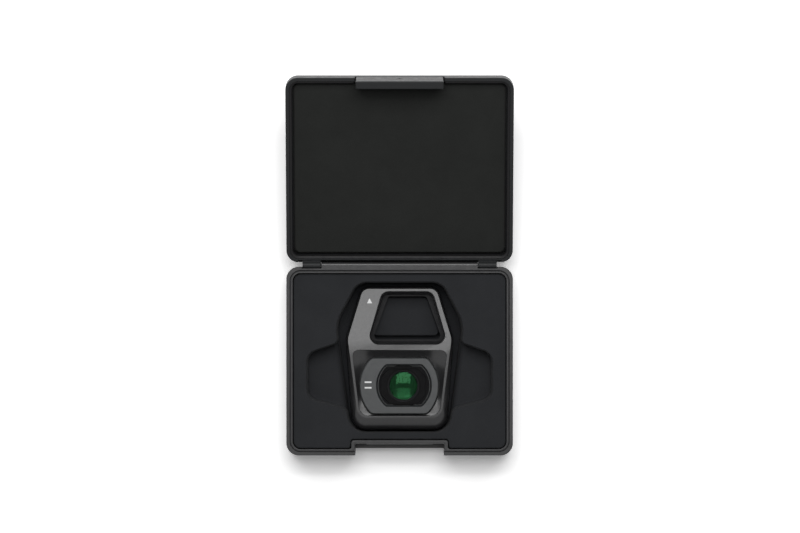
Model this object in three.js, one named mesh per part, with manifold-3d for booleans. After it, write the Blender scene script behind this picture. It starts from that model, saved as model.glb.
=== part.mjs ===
// A clip-on wide-angle converter lens in its hinged storage case, shown open.
// Millimetres, +Z up. The origin is the centre of the base's flat underside.
// +Y runs to the hinge, and the front of the case, with its latch notch, faces -Y.
import * as THREE from 'three';
import { mergeVertices } from 'three/addons/utils/BufferGeometryUtils.js';
import Module from 'manifold-3d';

// Case: outside sizes. Its width and depth follow from the tray that it holds.
const caseCornerRadius = 4.5;
const baseHeight = 18;
const baseEdgeRadius = 1.2;
const baseRimChamfer = 0.25;
const lidHeight = 7.3;
const lidEdgeRadius = 3;
const lidRimChamfer = 0.25;
const seamGap = 0.3;
const openAngle = THREE.MathUtils.degToRad(165.4);

// Case: walls and the raised lip of the inner frame.
const shellWall = 1.4;
const shellFloor = 1.4;
const lidRoof = 1.4;
const frameGap = 0.25;
const lipWidth = 0.6;
const lipRise = 0.8;
const lipChamfer = 0.15;
const lidLipRecess = 1.1;
const padGap = 0.55;
const padCornerRadius = 2.2;
const lidPadDepth = 3;
const padEdgeRadius = 0.5;

// Latch notch in the base front, and the tab that drops into it.
const notchHalfWidth = 16.1;
const notchUpperDepth = 4.2;
const notchLowerDepth = 2.3;
const notchUpperHeight = 7.5;
const notchWall = 0.6;
const notchCornerRadius = 0.5;
const catchHalfLength = 12;
const catchRise = 0.5;
const catchHeight = 1.2;
const catchDrop = 5.5;
const tabClearance = 0.4;
const tabThickness = 2.85;
const tabDrop = 6;
const tabRise = 2.4;
const tabEdgeRadius = 0.6;
const beadRise = 0.4;
const beadDrop = 3.2;
const markHalfWidth = 1.4;
const markHeight = 1.1;
const markDepth = 0.3;
const markDrop = 1.2;

// Hinge.
const hingeOffset = 0.6;
const hingeDrop = 1;
const barrelRadius = 1.25;
const hingeEndMargin = 5.85;
const knuckleLength = 6.6;
const knuckleGap = 0.25;
const hingeClearance = 0.3;
const pinRadius = 0.5;
const pinClearance = 0.08;
const heelRise = 2.2;
const fairingRise = 3.8;
const gussetDrop = 2.4;

// Lens tray.
const trayDrop = 0.4;
const trayEdgeRadius = 0.5;
const traySeat = 3.4;
const recessSoftEdge = 0.5;
const recessSlope = 0.5;
const recessFit = 0.35;
const recessWallDrop = 8.5;
const wingDepth = 6.2;
const wingSlope = 1;
const plinthRise = 3.2;
const plinthGap = 1;
const recessTopRadius = 6.5;
const recessMidRadius = 14;
const recessLowRadius = 7;
const recessTopSide = 2.42;
const recessTopEnd = 2.95;
const recessMidSide = 4.96;
const recessMidRise = 5.63;
const recessLowSide = 1.6;
const recessLowEnd = 1.4;
const wingReach = 10.31;
const wingHeight = 17.1;
const wingTopDrop = 10.58;
const wingTopTaper = 5.34;
const wingLowTaper = 3.87;
const wingRoot = 5;
const wingRadius = 5;
const sideMargin = 4.15;
const rearMargin = 2.3;
const frontMargin = 1.55;

// Lens: front frame. Half widths and places along Y of its six corners.
const faceTopHalf = 13.25;
const faceTopY = 26.1;
const faceMidHalf = 18.78;
const faceMidY = 8.05;
const faceLowHalf = 15.1;
const faceLowY = -20.6;
const skirtFlare = 0.62;
const skirtLowHalf = 17;
const skirtLowY = -25;
const faceTopRadius = 3;
const faceMidRadius = 7;
const faceLowRadius = 3.5;
const skirtLowRadius = 5;
// Crown of the frame: shares of the way in to the face, and up to it from the shoulder.
const crownShares = [[0, 0], [0, 0.5], [0.05, 0.68], [0.2, 0.8], [1, 1]];
const hoodProud = 1.5;
const faceBendY = 5.5;
const faceBendHalfLength = 2.5;
const faceSlope = Math.tan(THREE.MathUtils.degToRad(8));
const chinRise = 8.5;
const skirtHeight = 1;
const frameWall = 1.4;
const frameRoof = 1.8;
const innerWall = 1.1;

// Lens: window for the neighbouring camera.
const windowTopY = 25.4;
const windowLowY = 5.7;
const windowTopLeft = -6.4;
const windowTopRight = 12.1;
const windowLowLeft = -12.1;
const windowLowRight = 17.7;
const windowRadius = 2.4;
const windowInsetX = 2.3;
const windowInsetY = 2;
const windowRearRadius = 1.4;

// Lens: pocket round the hood.
const pocketTopY = 4;
const pocketLowY = -19.8;
const pocketTopHalf = 17.15;
const pocketLowHalf = 14.3;
const pocketTopRadius = 2.2;
const pocketLowRadius = 3.5;
const pocketDepth = 3;
const hoodGap = 0.3;

// Lens: hood, an outer O with flats round an offset aperture of the same form.
const hoodX = -0.16;
const hoodY = -8.95;
const hoodRadius = 14.17;
const hoodHalfHeight = 10.03;
const hoodCornerRadius = 2.4;
const hoodSeatGap = 0.2;
const hoodEdge = 0.35;
const hoodSkirt = 2.1;
const hoodFlange = 0.7;
const hoodFlangeThickness = 0.7;
const apertureX = 1.56;
const apertureY = -8.8;
const apertureRadius = 10;
const apertureHalfHeight = 7.65;
const apertureCornerRadius = 1.7;
const apertureTaper = 0.5;
const apertureDepth = 2.8;

// Lens: baffle plate in the hood.
const baffleGap = 0.3;
const baffleThickness = 1.1;
const baffleHalfWidth = 7.4;
const baffleHalfHeight = 6;
const baffleRadius = 2.2;
const baffleThroat = 6.35;

// Lens: barrel and optical stack, listed from the front.
const axisX = 1.35;
const axisY = -9;
const barrelOuter = 7.8;
const frontBore = 6.25;
const rearBore = 5.45;
const boreGap = 0.06;
const axialGap = 0.08;
const frontRingDepth = 0.1;
const frontRingThickness = 1;
const frontRingBore = 5.07;
const ringBevel = 0.4;
const frontRimThickness = 1.2;
const frontSag = 0.62;
const frontRearSag = 0.9;
const frontSpacerThickness = 0.7;
const frontSpacerBore = 5.2;
const middleRimThickness = 0.8;
const middleSag = 0.3;
const shoulderThickness = 0.5;
const shoulderBore = 4.6;
const rearSpacerThickness = 0.5;
const rearSpacerBore = 3.9;
const rearRimThickness = 0.8;
const rearSag = 0.25;
const rearRingThickness = 0.6;
const rearRingBore = 4.4;

// Lens: rear carrier, gasket, clips and screws.
const socketDepth = 4.58;
const carrierGap = 0.2;
const carrierWall = 1.2;
const carrierPlate = 1;
const carrierBore = 6.6;
const gasketInner = 6.9;
const gasketOuter = 8;
const gasketThickness = 0.6;
const gasketSeat = 0.2;
const gasketGap = 0.05;
const clipWidth = 7;
const clipThickness = 0.8;
const clipBarb = 0.6;
const clipBarbHeight = 1.1;
const clipGap = 0.25;
const clipY = -9;
const screwRadius = 0.5;
const screwHeadRadius = 0.95;
const screwHeadHeight = 0.5;
const screwClearance = 0.12;
const screwGap = 0.05;
const screwLength = 4.2;
const driveRadius = 0.42;
const driveDepth = 0.3;
const bossRadius = 1.25;
const screwPlaces = [
  [-10.6, 21.8],
  [-14.2, 9.6],
  [-12.3, -21.2],
  [12.3, -21.2],
];

// Facets.
const cutOverrun = 1;
const cornerSteps = 5;
const largeSteps = 40;
const smallSteps = 16;
const roundSteps = 5;
const glassSteps = 3;
const softSteps = 3;
const edgeSteps = 3;
const mergeTolerance = 1e-4;

// Places that follow from the sizes above.
const lidRim = baseHeight + seamGap;
const lidTop = lidRim + lidHeight;
const frameInset = shellWall + frameGap;
const trayInset = frameInset + lipWidth + padGap;
const recessTopHalf = faceTopHalf + recessTopSide;
const recessTopY = faceTopY + recessTopEnd;
const recessMidHalf = faceMidHalf + recessMidSide;
const recessMidY = faceMidY + recessMidRise;
const recessLowHalf = skirtLowHalf + recessLowSide;
const recessLowY = skirtLowY - recessLowEnd;
const wingHalfReach = recessMidHalf + wingReach;
const wingTopY = recessMidY - wingTopDrop;
const wingLowY = wingTopY - wingHeight;
const notchStack = notchUpperDepth + notchWall + frameGap + lipWidth + padGap;
const caseWidth = 2 * (wingHalfReach + sideMargin + trayInset);
const caseDepth = trayInset + rearMargin + recessTopY - recessLowY + frontMargin + notchStack;
const rearFace = caseDepth / 2;
const frontFace = -caseDepth / 2;
const lensShiftY = rearFace - trayInset - rearMargin - recessTopY;
const hingeY = rearFace + hingeOffset;
const hingeZ = baseHeight - hingeDrop;
const barrelHalfLength = caseWidth / 2 - hingeEndMargin - knuckleLength - knuckleGap;
const notchUpperY = frontFace + notchUpperDepth;
const notchLowerY = frontFace + notchLowerDepth;
const trayTop = baseHeight - trayDrop;
const barrelRear = socketDepth + carrierPlate + axialGap;
const barrelFront = barrelRear + stackLength();
const hoodFront = barrelFront + hoodSeatGap + apertureDepth;
const faceHeight = hoodFront - hoodProud;
const hoodRear = faceHeight - pocketDepth - hoodSkirt;
const chinHeight = faceHeight - chinRise;

const wasm = await Module();
wasm.setup();

// Length of the barrel, found by adding up what it holds.
function stackLength() {
  const frontStack = frontRingThickness + frontRimThickness + frontSpacerThickness + middleRimThickness;
  const rearStack = rearSpacerThickness + rearRimThickness + rearRingThickness;
  const gapCount = 8;
  return frontRingDepth + frontStack + shoulderThickness + rearStack + gapCount * axialGap;
}

// Turns a three.js geometry into a solid that can be joined and cut.
function toSolid(geometry) {
  const plain = geometry.clone();
  plain.deleteAttribute('normal');
  plain.deleteAttribute('uv');
  const merged = mergeVertices(plain, mergeTolerance);
  const corners = merged.index.array;
  const kept = [];
  for (let i = 0; i < corners.length; i += 3) {
    const [a, b, c] = corners.slice(i, i + 3);
    if (a !== b && b !== c && c !== a) kept.push(a, b, c);
  }
  const mesh = new wasm.Mesh({
    numProp: 3,
    vertProperties: new Float32Array(merged.attributes.position.array),
    triVerts: new Uint32Array(kept),
  });
  return new wasm.Manifold(mesh);
}

// Turns a solid back into a three.js geometry.
function toGeometry(solid) {
  const mesh = solid.getMesh();
  const geometry = new THREE.BufferGeometry();
  geometry.setAttribute('position', new THREE.BufferAttribute(mesh.vertProperties, 3));
  geometry.setIndex(new THREE.BufferAttribute(mesh.triVerts, 1));
  geometry.computeVertexNormals();
  return geometry;
}

// A corner is [x, y, radius], and corners run anticlockwise.
function rectCorners(halfX, halfY, radius, x = 0, y = 0) {
  return [
    [x + halfX, y - halfY, radius],
    [x + halfX, y + halfY, radius],
    [x - halfX, y + halfY, radius],
    [x - halfX, y - halfY, radius],
  ];
}

// Moves every edge outwards by a distance, and each radius with it.
function offsetCorners(corners, distance) {
  const count = corners.length;
  return corners.map(([x, y, radius], i) => {
    const before = corners[(i + count - 1) % count];
    const after = corners[(i + 1) % count];
    const into = new THREE.Vector2(x - before[0], y - before[1]).normalize();
    const out = new THREE.Vector2(after[0] - x, after[1] - y).normalize();
    const reach = distance / (1 + into.dot(out));
    const moved = Math.max(radius + distance, radius / 4);
    return [x + (into.y + out.y) * reach, y - (into.x + out.x) * reach, moved];
  });
}

// Points of a rounded polygon: an arc at each corner, then points along the edge.
function outlinePoints(corners, arcSteps = cornerSteps, sideSteps = 1) {
  const count = corners.length;
  const arcs = corners.map(([x, y, radius], i) => {
    const before = corners[(i + count - 1) % count];
    const after = corners[(i + 1) % count];
    const into = new THREE.Vector2(x - before[0], y - before[1]).normalize();
    const out = new THREE.Vector2(after[0] - x, after[1] - y).normalize();
    const turn = Math.acos(THREE.MathUtils.clamp(into.dot(out), -1, 1));
    const reach = radius * Math.tan(turn / 2);
    const centre = new THREE.Vector2(
      x - into.x * reach - into.y * radius,
      y - into.y * reach + into.x * radius,
    );
    const start = new THREE.Vector2(into.y * radius, -into.x * radius);
    const points = [];
    for (let k = 0; k <= arcSteps; k += 1) {
      points.push(start.clone().rotateAround(new THREE.Vector2(), (turn * k) / arcSteps).add(centre));
    }
    return points;
  });
  const outline = [];
  arcs.forEach((points, i) => {
    outline.push(...points);
    const from = points[points.length - 1];
    const to = arcs[(i + 1) % count][0];
    for (let k = 1; k < sideSteps; k += 1) outline.push(from.clone().lerp(to, k / sideSteps));
  });
  return outline;
}

// Points of an arc, both ends included.
function arcPoints(x, y, radius, from, to, steps) {
  return Array.from({ length: steps + 1 }, (_, k) => {
    const angle = from + ((to - from) * k) / steps;
    return new THREE.Vector2(x + radius * Math.cos(angle), y + radius * Math.sin(angle));
  });
}

// A circle cut by two flats across Y, with rounded corners, as points.
function cutCircle(x, y, radius, halfHeight, corner) {
  const inner = radius - corner;
  const reach = Math.asin((halfHeight - corner) / inner);
  const points = [];
  for (const side of [0, Math.PI]) {
    const near = side + reach;
    const far = side + Math.PI - reach;
    const top = side + Math.PI / 2;
    const [nearX, nearY] = [x + inner * Math.cos(near), y + inner * Math.sin(near)];
    const [farX, farY] = [x + inner * Math.cos(far), y + inner * Math.sin(far)];
    points.push(...arcPoints(x, y, radius, side - reach, near, cornerSteps * 2));
    points.push(...arcPoints(nearX, nearY, corner, near, top, softSteps).slice(1));
    points.push(...arcPoints(farX, farY, corner, top, far, softSteps).slice(0, -1));
  }
  return points;
}

// A circle as points.
function circlePoints(x, y, radius, steps = largeSteps) {
  return arcPoints(x, y, radius, 0, 2 * Math.PI, steps).slice(0, -1);
}

// A straight prism on an outline, between two heights.
function prism(points, low, high) {
  const geometry = new THREE.ExtrudeGeometry(new THREE.Shape(points), {
    depth: high - low,
    bevelEnabled: false,
  });
  geometry.translate(0, 0, low);
  return toSolid(geometry);
}

// Puts an outline at a height.
function level(points, z) {
  return points.map((p) => new THREE.Vector3(p.x, p.y, z));
}

// Skins sections of equal length, listed upwards, and closes both ends.
// An end is closed by strips across X where its outline is alike on both sides.
function loft(sections, mirrored = false) {
  const count = sections[0].length;
  const position = sections.flat().flatMap((p) => [p.x, p.y, p.z]);
  const index = [];
  for (let s = 0; s + 1 < sections.length; s += 1) {
    for (let i = 0; i < count; i += 1) {
      const next = (i + 1) % count;
      const a = s * count + i;
      const b = s * count + next;
      index.push(a, b, b + count, a, b + count, a + count);
    }
  }
  const cap = mirrored ? mirroredCap(count) : flatCap(sections[0]);
  const top = (sections.length - 1) * count;
  for (const [a, b, c] of cap) {
    index.push(a, c, b);
    index.push(top + a, top + b, top + c);
  }
  const geometry = new THREE.BufferGeometry();
  geometry.setAttribute('position', new THREE.Float32BufferAttribute(position, 3));
  geometry.setIndex(index);
  return toSolid(geometry);
}

function flatCap(section) {
  const flat = section.map((p) => new THREE.Vector2(p.x, p.y));
  return THREE.ShapeUtils.triangulateShape(flat, []);
}

function mirroredCap(count) {
  const triangles = [];
  for (let i = 0; i + 1 < count / 2; i += 1) {
    const left = count - 1 - i;
    if (i + 1 < left - 1) triangles.push([i, i + 1, left - 1]);
    triangles.push([i, left - 1, left]);
  }
  return triangles;
}

// A box between two corners.
function block(low, high) {
  const size = high.map((value, i) => value - low[i]);
  const geometry = new THREE.BoxGeometry(...size);
  geometry.translate(...low.map((value, i) => value + size[i] / 2));
  return toSolid(geometry);
}

// A cylinder along X on the hinge axis.
function hingeCylinder(radius, from, to, steps = smallSteps) {
  const geometry = new THREE.CylinderGeometry(radius, radius, to - from, steps);
  geometry.rotateZ(Math.PI / 2);
  geometry.translate((from + to) / 2, hingeY, hingeZ);
  return toSolid(geometry);
}

// A prism along X. Its profile lists [y, z] pairs.
function crossPrism(profile, from, to) {
  const shape = new THREE.Shape(profile.map(([y, z]) => new THREE.Vector2(y, z)));
  const geometry = new THREE.ExtrudeGeometry(shape, { depth: to - from, bevelEnabled: false });
  geometry.rotateY(Math.PI / 2);
  geometry.rotateX(Math.PI / 2);
  geometry.translate(from, 0, 0);
  return toSolid(geometry);
}

// A turned piece about a vertical axis. Its profile lists [radius, z] and closes on itself.
function turned(profile, x, y, steps = largeSteps) {
  const points = profile.map(([r, z]) => new THREE.Vector2(r, z));
  const geometry = new THREE.LatheGeometry(points, steps);
  geometry.rotateX(Math.PI / 2);
  geometry.translate(x, y, 0);
  return toSolid(geometry);
}

// A ring with a plain rectangular section.
function ring(inner, outer, low, high) {
  return turned([[inner, low], [outer, low], [outer, high], [inner, high], [inner, low]], axisX, axisY);
}

// The plan of the case, moved in by an inset.
function caseCorners(inset = 0, radius = caseCornerRadius) {
  const inner = Math.max(radius - inset, radius / 4);
  return rectCorners(caseWidth / 2 - inset, caseDepth / 2 - inset, inner);
}

// The plan of a piece inside the case, with its own corner radius.
function insideCorners(inset, radius) {
  return rectCorners(caseWidth / 2 - inset, caseDepth / 2 - inset, radius);
}

// The block that a wall keeps clear round the notch, between two heights.
function notchBlock(around, low, high) {
  const top = notchUpperY + around;
  const bottom = frontFace - cutOverrun;
  const halfY = (top - bottom) / 2;
  const radius = notchCornerRadius;
  return prism(
    outlinePoints(rectCorners(notchHalfWidth + around, halfY, radius, 0, (top + bottom) / 2), softSteps),
    low,
    high,
  );
}

// A quarter round between two sections, as [inset, height] steps.
function quarterSteps(radius, steps) {
  return Array.from({ length: steps + 1 }, (_, k) => {
    const angle = (k / steps) * (Math.PI / 2);
    return [radius * (1 - Math.cos(angle)), radius * Math.sin(angle)];
  });
}

function baseShell() {
  const sections = quarterSteps(baseEdgeRadius, softSteps)
    .reverse()
    .map(([inset, rise]) => level(outlinePoints(caseCorners(inset)), baseEdgeRadius - rise));
  sections.push(level(outlinePoints(caseCorners()), baseHeight - baseRimChamfer));
  sections.push(level(outlinePoints(caseCorners(baseRimChamfer)), baseHeight));
  const cavity = prism(outlinePoints(caseCorners(shellWall)), shellFloor, baseHeight + cutOverrun)
    .subtract(notchBlock(notchWall, -cutOverrun, baseHeight + 2 * cutOverrun));
  return loft(sections)
    .subtract(notchVoid())
    .subtract(cavity)
    .add(notchCatch())
    .add(baseBarrel())
    .subtract(hingeCylinder(pinRadius + pinClearance, -caseWidth / 2, caseWidth / 2))
    .subtract(knuckleRelief(1))
    .subtract(knuckleRelief(-1));
}

function notchVoid() {
  const upper = notchBlock(0, baseHeight - notchUpperHeight, baseHeight + cutOverrun);
  const lower = block(
    [-notchHalfWidth, frontFace - cutOverrun, -cutOverrun],
    [notchHalfWidth, notchLowerY, baseHeight - notchUpperHeight + notchCornerRadius],
  );
  return upper.add(lower);
}

// The rib that the tab's bead snaps under.
function notchCatch() {
  const middle = baseHeight - catchDrop;
  const profile = [
    [notchUpperY + notchWall / 2, middle - catchHeight / 2],
    [notchUpperY + notchWall / 2, middle + catchHeight / 2],
    [notchUpperY, middle + catchHeight / 2],
    [notchUpperY - catchRise, middle],
    [notchUpperY, middle - catchHeight / 2],
  ];
  return crossPrism(profile, -catchHalfLength, catchHalfLength);
}

// The middle barrel of the hinge, with the gusset that carries it on the rear wall.
function baseBarrel() {
  const gusset = [
    [hingeY - hingeOffset - shellWall / 2, hingeZ + hingeDrop / 2],
    [hingeY - hingeOffset - shellWall / 2, hingeZ - gussetDrop],
    [hingeY - hingeOffset, hingeZ - gussetDrop],
    [hingeY + barrelRadius / 3, hingeZ - (barrelRadius * 3) / 4],
    [hingeY, hingeZ + barrelRadius / 2],
  ];
  return hingeCylinder(barrelRadius, -barrelHalfLength, barrelHalfLength)
    .add(crossPrism(gusset, -barrelHalfLength, barrelHalfLength));
}

// Room in the rear wall for a knuckle of the lid. Side is 1 or -1.
function knuckleRelief(side) {
  const near = barrelHalfLength;
  const far = barrelHalfLength + knuckleLength + 2 * knuckleGap;
  const ends = [side * near, side * far].sort((a, b) => a - b);
  return hingeCylinder(barrelRadius + hingeClearance, ends[0], ends[1]);
}

// A ring that lines a shell. The notch is kept clear where the piece has one.
function liningRing(inset, low, high, notched) {
  const outer = prism(outlinePoints(caseCorners(inset)), low, high);
  const inner = prism(outlinePoints(caseCorners(inset + lipWidth)), low - cutOverrun, high + cutOverrun);
  if (!notched) return outer.subtract(inner);
  const outerNotch = notchBlock(inset - shellWall + notchWall, low - cutOverrun, high + cutOverrun);
  const innerNotch = notchBlock(
    inset - shellWall + notchWall + lipWidth,
    low - 2 * cutOverrun,
    high + 2 * cutOverrun,
  );
  return outer.subtract(outerNotch).subtract(inner.subtract(innerNotch));
}

function baseInnerFrame() {
  return liningRing(frameInset, shellFloor, baseHeight + lipRise - lipChamfer, true)
    .add(lipCrown());
}

// The narrower top of the lip, which breaks its two edges.
function lipCrown() {
  const low = baseHeight + lipRise - 2 * lipChamfer;
  const inset = frameInset + lipChamfer;
  const width = lipWidth - 2 * lipChamfer;
  const high = baseHeight + lipRise;
  const around = notchWall + frameGap + lipChamfer;
  const outer = prism(outlinePoints(caseCorners(inset)), low, high)
    .subtract(notchBlock(around, low - cutOverrun, high + cutOverrun));
  const inner = prism(outlinePoints(caseCorners(inset + width)), low - cutOverrun, high + cutOverrun)
    .subtract(notchBlock(around + width, low - 2 * cutOverrun, high + 2 * cutOverrun));
  return outer.subtract(inner);
}

// Corners moved from the lens's frame to where the lens lies in the tray.
function shifted(corners) {
  return corners.map(([x, y, radius]) => [x, y + lensShiftY, radius]);
}

// The outline of the tray's recess for the lens, moved out by a distance.
function recessCorners(distance) {
  const corners = [
    [recessLowHalf, recessLowY, recessLowRadius],
    [recessMidHalf, recessMidY, recessMidRadius],
    [recessTopHalf, recessTopY, recessTopRadius],
    [-recessTopHalf, recessTopY, recessTopRadius],
    [-recessMidHalf, recessMidY, recessMidRadius],
    [-recessLowHalf, recessLowY, recessLowRadius],
  ];
  return offsetCorners(shifted(corners), distance);
}

// The outline of one finger recess. Side is 1 or -1.
function wingCorners(side, distance) {
  const root = recessMidHalf - wingRoot;
  const right = [
    [root, wingLowY - wingLowTaper, wingRadius / 4],
    [wingHalfReach, wingLowY, wingRadius],
    [wingHalfReach, wingTopY, wingRadius],
    [root, wingTopY + wingTopTaper, wingRadius / 4],
  ];
  const corners = side > 0 ? right : right.map(([x, y, r]) => [-x, y, r]).reverse();
  return offsetCorners(shifted(corners), distance);
}

// A hollow with a soft upper edge and sloped walls, from the tray's top down to a floor.
function softHollow(cornersAt, floor, slope, softness) {
  const sections = [];
  const wallTop = trayTop - softness;
  sections.push(level(outlinePoints(cornersAt(-softness - slope)), floor));
  sections.push(level(outlinePoints(cornersAt(-softness)), wallTop));
  for (const [inset, rise] of quarterSteps(softness, softSteps).slice(1)) {
    sections.push(level(outlinePoints(cornersAt(inset - softness)), wallTop + rise));
  }
  sections.push(level(outlinePoints(cornersAt(0)), trayTop + cutOverrun));
  return loft(sections);
}

function lensTray() {
  const notchAround = notchWall + frameGap + lipWidth + padGap;
  const body = loft([
    level(outlinePoints(insideCorners(trayInset, padCornerRadius)), shellFloor),
    level(outlinePoints(insideCorners(trayInset, padCornerRadius)), trayTop - trayEdgeRadius),
    level(outlinePoints(offsetCorners(insideCorners(trayInset, padCornerRadius), -trayEdgeRadius / 4)),
      trayTop - trayEdgeRadius / 4),
    level(outlinePoints(offsetCorners(insideCorners(trayInset, padCornerRadius), -trayEdgeRadius)), trayTop),
  ]);
  const seat = prism(outlinePoints(shifted(skirtCorners(recessFit))), traySeat, trayTop - recessWallDrop);
  const upper = softHollow(recessCorners, trayTop - recessWallDrop - seamGap, recessSlope, recessSoftEdge);
  return body
    .subtract(notchBlock(notchAround, -cutOverrun, baseHeight + cutOverrun))
    .subtract(upper)
    .subtract(seat)
    .subtract(softHollow((d) => wingCorners(1, d), trayTop - wingDepth, wingSlope, recessSoftEdge))
    .subtract(softHollow((d) => wingCorners(-1, d), trayTop - wingDepth, wingSlope, recessSoftEdge))
    .add(trayPlinth());
}

// The raised plinth that stands under the lens's window.
function trayPlinth() {
  return prism(
    outlinePoints(offsetCorners(shifted(windowRearCorners()), -plinthGap)),
    traySeat - cutOverrun,
    traySeat + plinthRise,
  );
}

function hingePin() {
  const reach = barrelHalfLength + knuckleGap + knuckleLength;
  return hingeCylinder(pinRadius, -reach, reach);
}

function lidShell() {
  const sections = [
    level(outlinePoints(caseCorners(lidRimChamfer)), lidRim),
    level(outlinePoints(caseCorners()), lidRim + lidRimChamfer),
  ];
  for (const [inset, rise] of quarterSteps(lidEdgeRadius, cornerSteps)) {
    sections.push(level(outlinePoints(caseCorners(inset)), lidTop - lidEdgeRadius + rise));
  }
  const cavity = prism(outlinePoints(caseCorners(shellWall)), lidRim - cutOverrun, lidTop - lidRoof);
  return loft(sections)
    .subtract(cavity)
    .subtract(tabSlot(tabClearance, -cutOverrun))
    .add(lidKnuckle(1))
    .add(lidKnuckle(-1))
    .subtract(hingeCylinder(
      barrelRadius + hingeClearance,
      -barrelHalfLength - knuckleGap,
      barrelHalfLength + knuckleGap,
    ))
    .subtract(hingeCylinder(pinRadius + pinClearance, -caseWidth / 2, caseWidth / 2));
}

// One knuckle, its fairing into the rear wall, and the heel that stops the lid.
function lidKnuckle(side) {
  const near = barrelHalfLength + knuckleGap;
  const ends = [side * near, side * (near + knuckleLength)].sort((a, b) => a - b);
  const short = Math.PI - openAngle;
  const stopFace = hingeOffset - hingeClearance;
  const heelY = (stopFace + heelRise * Math.sin(short)) / Math.cos(short);
  const touch = Math.sqrt(barrelRadius ** 2 - stopFace ** 2);
  const fairing = [
    [hingeY - barrelRadius * Math.SQRT1_2, hingeZ + barrelRadius * Math.SQRT1_2],
    [hingeY, hingeZ],
    [hingeY + stopFace * Math.cos(short) + touch * Math.sin(short),
      hingeZ + touch * Math.cos(short) - stopFace * Math.sin(short)],
    [hingeY + heelY, hingeZ + heelRise],
    [hingeY - hingeOffset, hingeZ + fairingRise],
    [hingeY - hingeOffset - shellWall / 2, hingeZ + fairingRise],
    [hingeY - hingeOffset - shellWall / 2, hingeZ + hingeDrop + seamGap],
  ];
  return hingeCylinder(barrelRadius, ends[0], ends[1]).add(crossPrism(fairing, ends[0], ends[1]));
}

// Room for the tab in the lid's front wall and lining.
function tabSlot(around, sink) {
  const halfWidth = notchHalfWidth - tabClearance + around;
  return block(
    [-halfWidth, frontFace - cutOverrun, lidRim - cutOverrun + sink],
    [halfWidth, frontFace + tabThickness + around, baseHeight + tabRise + around],
  );
}

function lidInnerFrame() {
  return liningRing(frameInset, lidRim + lidLipRecess, lidTop - lidRoof, false)
    .subtract(tabSlot(tabClearance, -cutOverrun))
    .subtract(block(
      [-notchHalfWidth - tabClearance, frontFace - cutOverrun, lidRim],
      [notchHalfWidth + tabClearance, frontFace + frameInset + lipWidth + tabClearance, lidRim + lidPadDepth],
    ));
}

function lidPad() {
  const outline = insideCorners(trayInset, padCornerRadius);
  const low = lidRim + lidPadDepth;
  const sections = [
    level(outlinePoints(offsetCorners(outline, -padEdgeRadius)), low),
    level(outlinePoints(offsetCorners(outline, -padEdgeRadius / 4)), low + padEdgeRadius / 4),
    level(outlinePoints(outline), low + padEdgeRadius),
    level(outlinePoints(outline), lidTop - lidRoof),
  ];
  return loft(sections);
}

// The tab: a plate with rounded long edges, a snap bead inside and a small mark outside.
function latchTab() {
  const halfWidth = notchHalfWidth - tabClearance;
  const plate = loft(tabSections(halfWidth));
  const bead = notchBead(halfWidth - catchHeight);
  const markPoints = [
    new THREE.Vector2(-markHalfWidth, -markHeight / 2),
    new THREE.Vector2(markHalfWidth, -markHeight / 2),
    new THREE.Vector2(0, markHeight / 2),
  ];
  const mark = new THREE.ExtrudeGeometry(new THREE.Shape(markPoints), {
    depth: markDepth + cutOverrun,
    bevelEnabled: false,
  });
  mark.rotateX(Math.PI / 2);
  mark.translate(0, frontFace + markDepth, baseHeight - markDrop);
  return plate.add(bead).subtract(toSolid(mark));
}

function tabSections(halfWidth) {
  const y = frontFace + tabThickness / 2;
  const low = baseHeight - tabDrop;
  const high = baseHeight + tabRise;
  const at = (inset) => outlinePoints(
    rectCorners(halfWidth - inset, tabThickness / 2 - inset, tabEdgeRadius, 0, y),
    softSteps,
  );
  return [
    level(at(tabEdgeRadius / 2), low),
    level(at(0), low + tabEdgeRadius / 2),
    level(at(0), high),
  ];
}

function notchBead(halfLength) {
  const face = frontFace + tabThickness;
  const middle = baseHeight - beadDrop;
  const profile = [
    [face - tabEdgeRadius, middle + catchHeight / 2],
    [face - tabEdgeRadius, middle - catchHeight / 2],
    [face, middle - catchHeight / 2],
    [face + beadRise, middle],
    [face, middle + catchHeight / 2],
  ];
  return crossPrism(profile, -halfLength, halfLength);
}

// The face outline of the lens frame.
function faceCorners() {
  const right = [
    [faceLowHalf, faceLowY, faceLowRadius],
    [faceMidHalf, faceMidY, faceMidRadius],
    [faceTopHalf, faceTopY, faceTopRadius],
  ];
  return [...right, ...right.map(([x, y, r]) => [-x, y, r]).reverse()];
}

// The outline of the frame's skirt, moved out by a distance.
function skirtCorners(distance = 0) {
  const right = offsetCorners(faceCorners(), skirtFlare).slice(0, 3);
  right[0] = [skirtLowHalf, skirtLowY, skirtLowRadius];
  const corners = [...right, ...right.map(([x, y, r]) => [-x, y, r]).reverse()];
  return offsetCorners(corners, distance);
}

// Height of the face: level below the bend, and sloping back above it.
function faceHeightAt(y) {
  const past = y - faceBendY + faceBendHalfLength;
  if (past <= 0) return faceHeight;
  const blend = Math.min(past, 2 * faceBendHalfLength);
  const curve = (faceSlope * blend ** 2) / (4 * faceBendHalfLength);
  return faceHeight - curve - faceSlope * (past - blend);
}

// The frame's outer form, or its hollow when it is moved in by a wall and a roof.
// Its side is straight up past the shoulder, then turns in along the crown to the face.
function frameForm(wall, roof, bottom, shoulder) {
  const skirt = outlinePoints(skirtCorners(-wall), cornerSteps, edgeSteps);
  const face = outlinePoints(offsetCorners(faceCorners(), -wall), cornerSteps, edgeSteps);
  const sections = [level(skirt, bottom)];
  for (const [inShare, riseShare] of crownShares) {
    sections.push(skirt.map((p, i) => {
      const mixed = p.clone().lerp(face[i], inShare);
      const height = faceHeightAt(face[i].y) - roof;
      return new THREE.Vector3(mixed.x, mixed.y, shoulder + (height - shoulder) * riseShare);
    }));
  }
  return loft(sections, true);
}

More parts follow.
